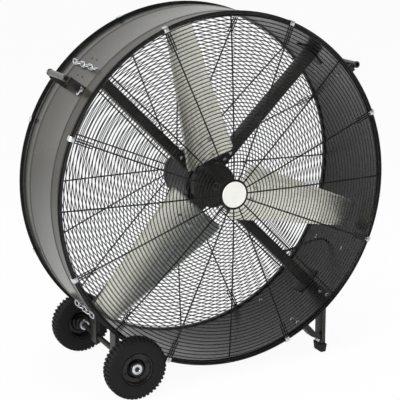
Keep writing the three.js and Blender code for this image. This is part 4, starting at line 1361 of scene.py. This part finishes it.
def lamp(name, place, size, power, mirrored):
    deselect()
    bpy.ops.object.light_add(type="AREA", location=place)
    light = bpy.context.object
    light.name = name
    light.data.size = size
    light.data.energy = power
    light.visible_glossy = mirrored
    light.rotation_mode = "QUATERNION"
    light.rotation_quaternion = (LAMP_TARGET - Vector(place)).to_track_quat("-Z", "Y")


class FAN_OT_stage(bpy.types.Operator):
    """Stage: pale floor, soft lamps, white surroundings and the camera"""
    bl_idname = "fan.stage"
    bl_label = "Stage"

    def execute(self, context):
        deselect()
        bpy.ops.mesh.primitive_plane_add(size=FLOOR_SIZE, location=(0, 0, FLOOR_LEVEL))
        floor = bpy.context.object
        floor.name = "floor"
        floor.data.materials.append(floor_material())
        for settings in LAMPS:
            lamp(*settings)
        make_world()
        bpy.ops.object.camera_add(location=CAMERA_PLACE)
        camera = bpy.context.object
        camera.rotation_mode = "QUATERNION"
        camera.rotation_quaternion = Vector(CAMERA_LINE).to_track_quat("-Z", "Y")
        camera.data.sensor_width = 36
        camera.data.lens = CAMERA_LENS
        camera.data.shift_x, camera.data.shift_y = CAMERA_SHIFT
        camera.data.clip_end = 100
        context.scene.camera = camera
        context.scene.view_settings.view_transform = "Standard"
        return {"FINISHED"}


# ------------------------------------------------------------------ panel and registration

PIECES = (
    FAN_OT_drum, FAN_OT_guards, FAN_OT_guard_clips, FAN_OT_badge, FAN_OT_motor, FAN_OT_motor_arms,
    FAN_OT_blades, FAN_OT_hub, FAN_OT_wheels, FAN_OT_axle, FAN_OT_legs, FAN_OT_handles,
    FAN_OT_chains, FAN_OT_controls, FAN_OT_stage,
)


class FAN_PT_pieces(bpy.types.Panel):
    """Sidebar panel with the fan's sizes, colours and pieces"""
    bl_idname = "FAN_PT_pieces"
    bl_label = "Drum Fan"
    bl_space_type = "VIEW_3D"
    bl_region_type = "UI"
    bl_category = "Drum Fan"

    def draw(self, context):
        layout = self.layout
        for group in (context.scene.fan_sizes, context.scene.fan_colours):
            column = layout.column(align=True)
            for key in group.__annotations__:
                column.prop(group, key)
        for piece in PIECES:
            layout.operator(piece.bl_idname)


CLASSES = (FanSizes, FanColours, *PIECES, FAN_PT_pieces)


def register():
    for kind in CLASSES:
        bpy.utils.register_class(kind)
    bpy.types.Scene.fan_sizes = bpy.props.PointerProperty(type=FanSizes)
    bpy.types.Scene.fan_colours = bpy.props.PointerProperty(type=FanColours)


def unregister():
    del bpy.types.Scene.fan_colours
    del bpy.types.Scene.fan_sizes
    for kind in reversed(CLASSES):
        bpy.utils.unregister_class(kind)


def main():
    register()
    make_finishes()
    for piece in PIECES:
        group, name = piece.bl_idname.split(".")
        getattr(getattr(bpy.ops, group), name)()


if __name__ == "__main__":
    main()
